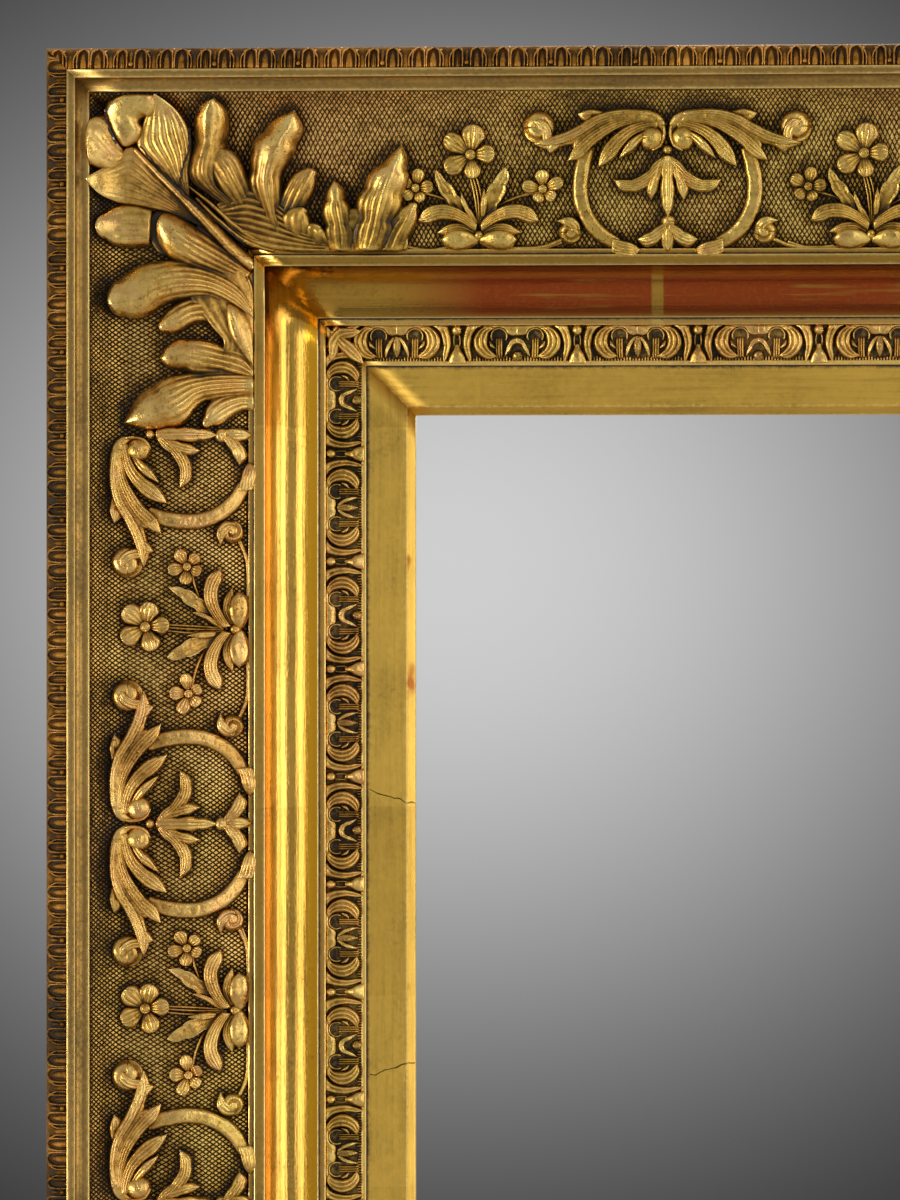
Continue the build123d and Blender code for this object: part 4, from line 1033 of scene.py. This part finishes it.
edge_units = [edge_period().gathered()]
sight_units = [sight_period(False).gathered(), sight_period(True).gathered()]
for side in SIDES:
    verts, faces, cavity = run_of(side, edge_units, EDGE_REPEAT, 0, EDGE_REPEAT)
    angle = verts[:, 1] / RUN_ACROSS * math.pi / 2
    reach = TORUS_BED + verts[:, 2]
    u, h = TORUS[0] - reach * np.cos(angle), TORUS[1] + reach * np.sin(angle)
    s, faces = mitred(side, verts[:, 0], u, faces)
    points = place(side, s, u, h)
    ornament_piece(f"edge_leaf_run_{side}", (points, faces, cavity), run_ornament[LIKE[side]], TURNED[side])
    first, pitch, start = SIGHT_RUN[LIKE[side]]
    verts, faces, cavity = run_of(side, sight_units[start:] + sight_units[:start], SIGHT_REPEAT, first, pitch)
    u = verts[:, 1]
    s, faces = mitred(side, verts[:, 0], u, faces)
    points = place(side, s, u, sight_bed(u) + verts[:, 2])
    ornament_piece(f"sight_leaf_run_{side}", (points, faces, cavity), sight_ornament, TURNED[side])

verts, faces, cavity = sight_corner().gathered()
copies = []
x, y, z = verts.T
x, y = x + SIGHT_BED[0][0] + 0.4, y + SIGHT_BED[0][0] + 0.4
for right, low in CORNERS.values():
    points = place_corner(right, low, x, y, sight_bed(np.minimum(x, y)) + z + 0.8)
    copies.append((points, faces[:, ::-1] if right != low else faces, cavity))
ornament_piece("sight_corner_leaves", merged(copies), sight_ornament)


# Mouldings

def arc(u, h, radius, start, end, count=16):
    a = np.radians(np.linspace(start, end, count))
    return list(zip(u + radius * np.cos(a), h + radius * np.sin(a)))


# Height of the mouldings' backs, and the sections of the plain ones.
BACK = 22
SECTIONS = {
    "edge": [(19, 74.5), (19, BACK), (14, BACK), *arc(2.5, 51.5, 11.5, 0, 90), (2.5, 67),
             *arc(10, 67, 7.5, 180, 90)[1:], (10, 78), *arc(17, 78, 3.5, 180, 270)],
    "cove": [(82.5, BACK), (82.5, 55), (85, 55), (85, 57), *arc(110, 57, 20.5, 180, 270, 40), (110, 35.5),
             (113, 35.5), (113, BACK)],
    "slip": [(113, BACK), (113, 31), (127.5, 28.5), (127.5, 30), (129.5, 30), (129.5, 29), (146.5, 29),
             (150, 26), (150, 22.5), (142, 22.5), (142, BACK)],
}


def softened(section, radius=0.5, longest=1.6):
    """A closed section with its corners rounded and its long edges divided, and the cavity of each point."""
    p = np.array(section, float)
    out = []
    for a, b, c in zip(np.roll(p, 1, axis=0), p, np.roll(p, -1, axis=0)):
        before, after = a - b, c - b
        la, lc = np.hypot(*before), np.hypot(*after)
        turn = math.degrees(math.acos(np.clip(before @ after / (la * lc), -1, 1)))
        if turn > 155:
            out.append(b)
            continue
        start, end = b + before / la * min(radius, 0.4 * la), b + after / lc * min(radius, 0.4 * lc)
        for f in np.linspace(0, 1, 5):
            out.append((1 - f) ** 2 * start + 2 * f * (1 - f) * b + f * f * end)
    fine = []
    for b, c in zip(out, out[1:] + out[:1]):
        parts = max(1, math.ceil(np.hypot(*(c - b)) / longest))
        fine += [b + (c - b) * k / parts for k in range(parts)]
    p = np.array(fine)
    seg = np.hypot(*(np.roll(p, -1, axis=0) - p).T)
    run = np.concatenate([[0], np.cumsum(seg)])
    even = np.arange(0, run[-1], 0.1)
    ring = np.concatenate([p, p[:1]])
    dense = np.stack([np.interp(even, run, c) for c in ring.T], axis=1)
    mean = sum(np.roll(dense, k, axis=0) for k in range(-12, 13)) / 25
    tangent = np.roll(dense, -3, axis=0) - np.roll(dense, 3, axis=0)
    area = np.sum(dense[:, 0] * np.roll(dense[:, 1], -1) - np.roll(dense[:, 0], -1) * dense[:, 1])
    normal = np.stack([tangent[:, 1], -tangent[:, 0]], axis=1) * np.sign(area)
    normal /= np.hypot(*normal.T)[:, None] + 1e-9
    off = np.sum((dense - mean) * normal, axis=1)
    return p, np.interp(run[:-1], even, off) * 2.2


def loft(name, side, section, cavity, stations, look, slot):
    """A section along a side, mitred at both ends and closed. The cavity may differ along the side."""
    t = np.linspace(-1, 1, stations)[:, None]
    u, h = section[None, :, 0], section[None, :, 1]
    s = t * (HALF[side] - u)
    wave = 0.07 * np.sin(s / 31 + u / 7) + 0.05 * np.sin(s / 13 - u / 5)
    h = np.where(h > BACK + 2, h + wave, h + 0 * s)
    verts = place(side, s, u + 0 * s, h).reshape(-1, 3)
    n = section.shape[0]
    k = np.arange(stations * n).reshape(stations, n)
    ring = np.roll(k, -1, axis=1)
    quads = np.stack([k[:-1], k[1:], ring[1:], ring[:-1]], -1).reshape(-1, 4).tolist()
    faces = quads + [k[0].tolist(), k[-1].tolist()]
    piece(f"{name}_{side}_gilt", verts, faces, np.broadcast_to(cavity, (stations, n)).reshape(-1), look, slot,
          f"{name}_{side}", closed=True)


frieze_u = np.linspace(FRIEZE_OUTER[0], FRIEZE_INNER[0], 44)
frieze_section = np.concatenate([np.stack([frieze_u, frieze(frieze_u)], axis=1), [(82.5, BACK), (19, BACK)]])
for side in SIDES:
    for name, look, slot in (("edge", edge_gilding, "gilded_wood"), ("cove", cove_gilding, "burnished_gilding"),
                             ("slip", slip_gilding, "matt_gilding")):
        section, cavity = softened(SECTIONS[name])
        if name == "slip":
            u, h = section.T
            # the bed of the sight run made darker
            cavity = np.where((u > 113.1) & (u < 127.45) & (h > 26), SIGHT_BED_DARK, cavity)
        loft(f"{name}_moulding", side, section, cavity, 48, look, slot)
    stations = int(2 * HALF[side] / 1.7)
    s, u, z = np.concatenate(ground[side], axis=1)
    keep = (u > 0) & (u < 99) & (np.abs(s) < HALF[side])
    top = np.zeros((int(2 * HALF[side]) + 1, 101))
    np.maximum.at(top, (np.round(s[keep] + HALF[side]).astype(int), np.round(u[keep]).astype(int)), z[keep])
    # dirt next to the ornament, and a painted shadow offset to lie thickest above and outside it
    dirt_and_shade = -0.45 * blurred(top, 1) - 0.4 * blurred(np.roll(top, (-2, -2), (0, 1)), 3)
    t = np.linspace(-1, 1, stations)[:, None]
    at = np.round(t * (HALF[side] - frieze_u[None]) + HALF[side]).astype(int)
    cavity = np.zeros((stations, len(frieze_section)))
    cavity[:, : len(frieze_u)] = dirt_and_shade[at, np.round(frieze_u).astype(int)[None]]
    loft("frieze_moulding", side, frieze_section, np.clip(cavity, -1.5, 0), stations, net_ground,
         "gilded_net_ground")


# Stage, light and camera

def soft_light(name, at, aim, size, power, colour=(1, 1, 1)):
    data = bpy.data.lights.new(name, "AREA")
    data.shape = "RECTANGLE"
    data.size, data.size_y = size
    data.energy = power
    data.color = colour
    lamp = bpy.data.objects.new(name, data)
    lamp.location = at
    lamp.rotation_euler = (Vector(aim) - Vector(at)).to_track_quat("-Z", "Y").to_euler()
    bpy.context.scene.collection.objects.link(lamp)


floor_look = Shader("pale_floor")
tone = floor_look.ramp(floor_look.noise(3), (0.3, (0.62, 0.61, 0.60)), (0.7, (0.68, 0.67, 0.66)))
floor_look.done(Base_Color=tone, Roughness=0.85)
bpy.ops.mesh.primitive_grid_add(size=4.0, x_subdivisions=4, y_subdivisions=4,
                                location=(0, 0, BOTTOM_Z / 1000 - 0.001))
floor = bpy.context.object
floor.name = "floor"
floor.data.materials.append(floor_look.material)

DAYLIGHT = (1.0, 0.98, 0.94)
soft_light("side_window", (1.5, -0.1, -0.15), (-0.3, -0.05, -0.15), (0.8, 1.7), 13, DAYLIGHT)
soft_light("front_window", (0.86, -1.62, -0.1), (-0.3, 0, -0.2), (0.5, 1.7), 6.0, DAYLIGHT)
soft_light("left_window", (-1.7, -1.1, -0.8), (-0.3, 0, -0.2), (0.8, 1.4), 28, DAYLIGHT)
soft_light("behind", (0.6, 1.8, 0.8), (0, 0, -0.4), (1.6, 1.6), 20)

AIM = Vector((-0.24913, -0.055, -0.14906))
DISTANCE = 2.2
AZIMUTH = math.radians(3.125)
# Focal length in pixels of a picture this high.
FOCAL = 5344.8
PICTURE = 1200
data = bpy.data.cameras.new("camera")
data.sensor_width = 36.0
data.lens = FOCAL / PICTURE * data.sensor_width
camera = bpy.data.objects.new("camera", data)
camera.location = AIM + Vector((math.sin(AZIMUTH), -math.cos(AZIMUTH), 0)) * DISTANCE
camera.rotation_euler = (AIM - camera.location).to_track_quat("-Z", "Y").to_euler()
bpy.context.scene.collection.objects.link(camera)
bpy.context.scene.camera = camera
bpy.context.scene.view_settings.view_transform = "Standard"

# The studio: grey all round and darker below, and to the eye a soft pool of light behind the frame.
world = bpy.data.worlds.new("studio")
bpy.context.scene.world = world
world.use_nodes = True
sky = Nodes(world.node_tree, "Generated")
x, y, z = sky.node("SeparateXYZ", {0: sky.where}).outputs
aside = sky.total((x, math.cos(AZIMUTH)), (y, math.sin(AZIMUTH)))
above = sky.math("SUBTRACT", z, 0.0075)
off = [sky.math("POWER", sky.math("DIVIDE", sky.math("ABSOLUTE", value), reach), 2.0)
       for value, reach in ((aside, 0.104), (above, 0.088))]
off = sky.math("ADD", *off)
pool = sky.times(sky.math("EXPONENT", sky.times(off, -1.0)), 0.62)
seen = sky.math("MAXIMUM", pool, sky.span(off, 3.0, 14.0, 0.0, 0.34))
around = sky.span(z, -0.5, 0.15, 0.13, 0.45)
eye = sky.node("LightPath").outputs["Is Camera Ray"]
level = sky.math("ADD", sky.times(seen, eye), sky.times(around, sky.math("SUBTRACT", 1.0, eye)))
sky.link(level, sky.tree.nodes["Background"].inputs["Color"])

bpy.context.view_layer.update()
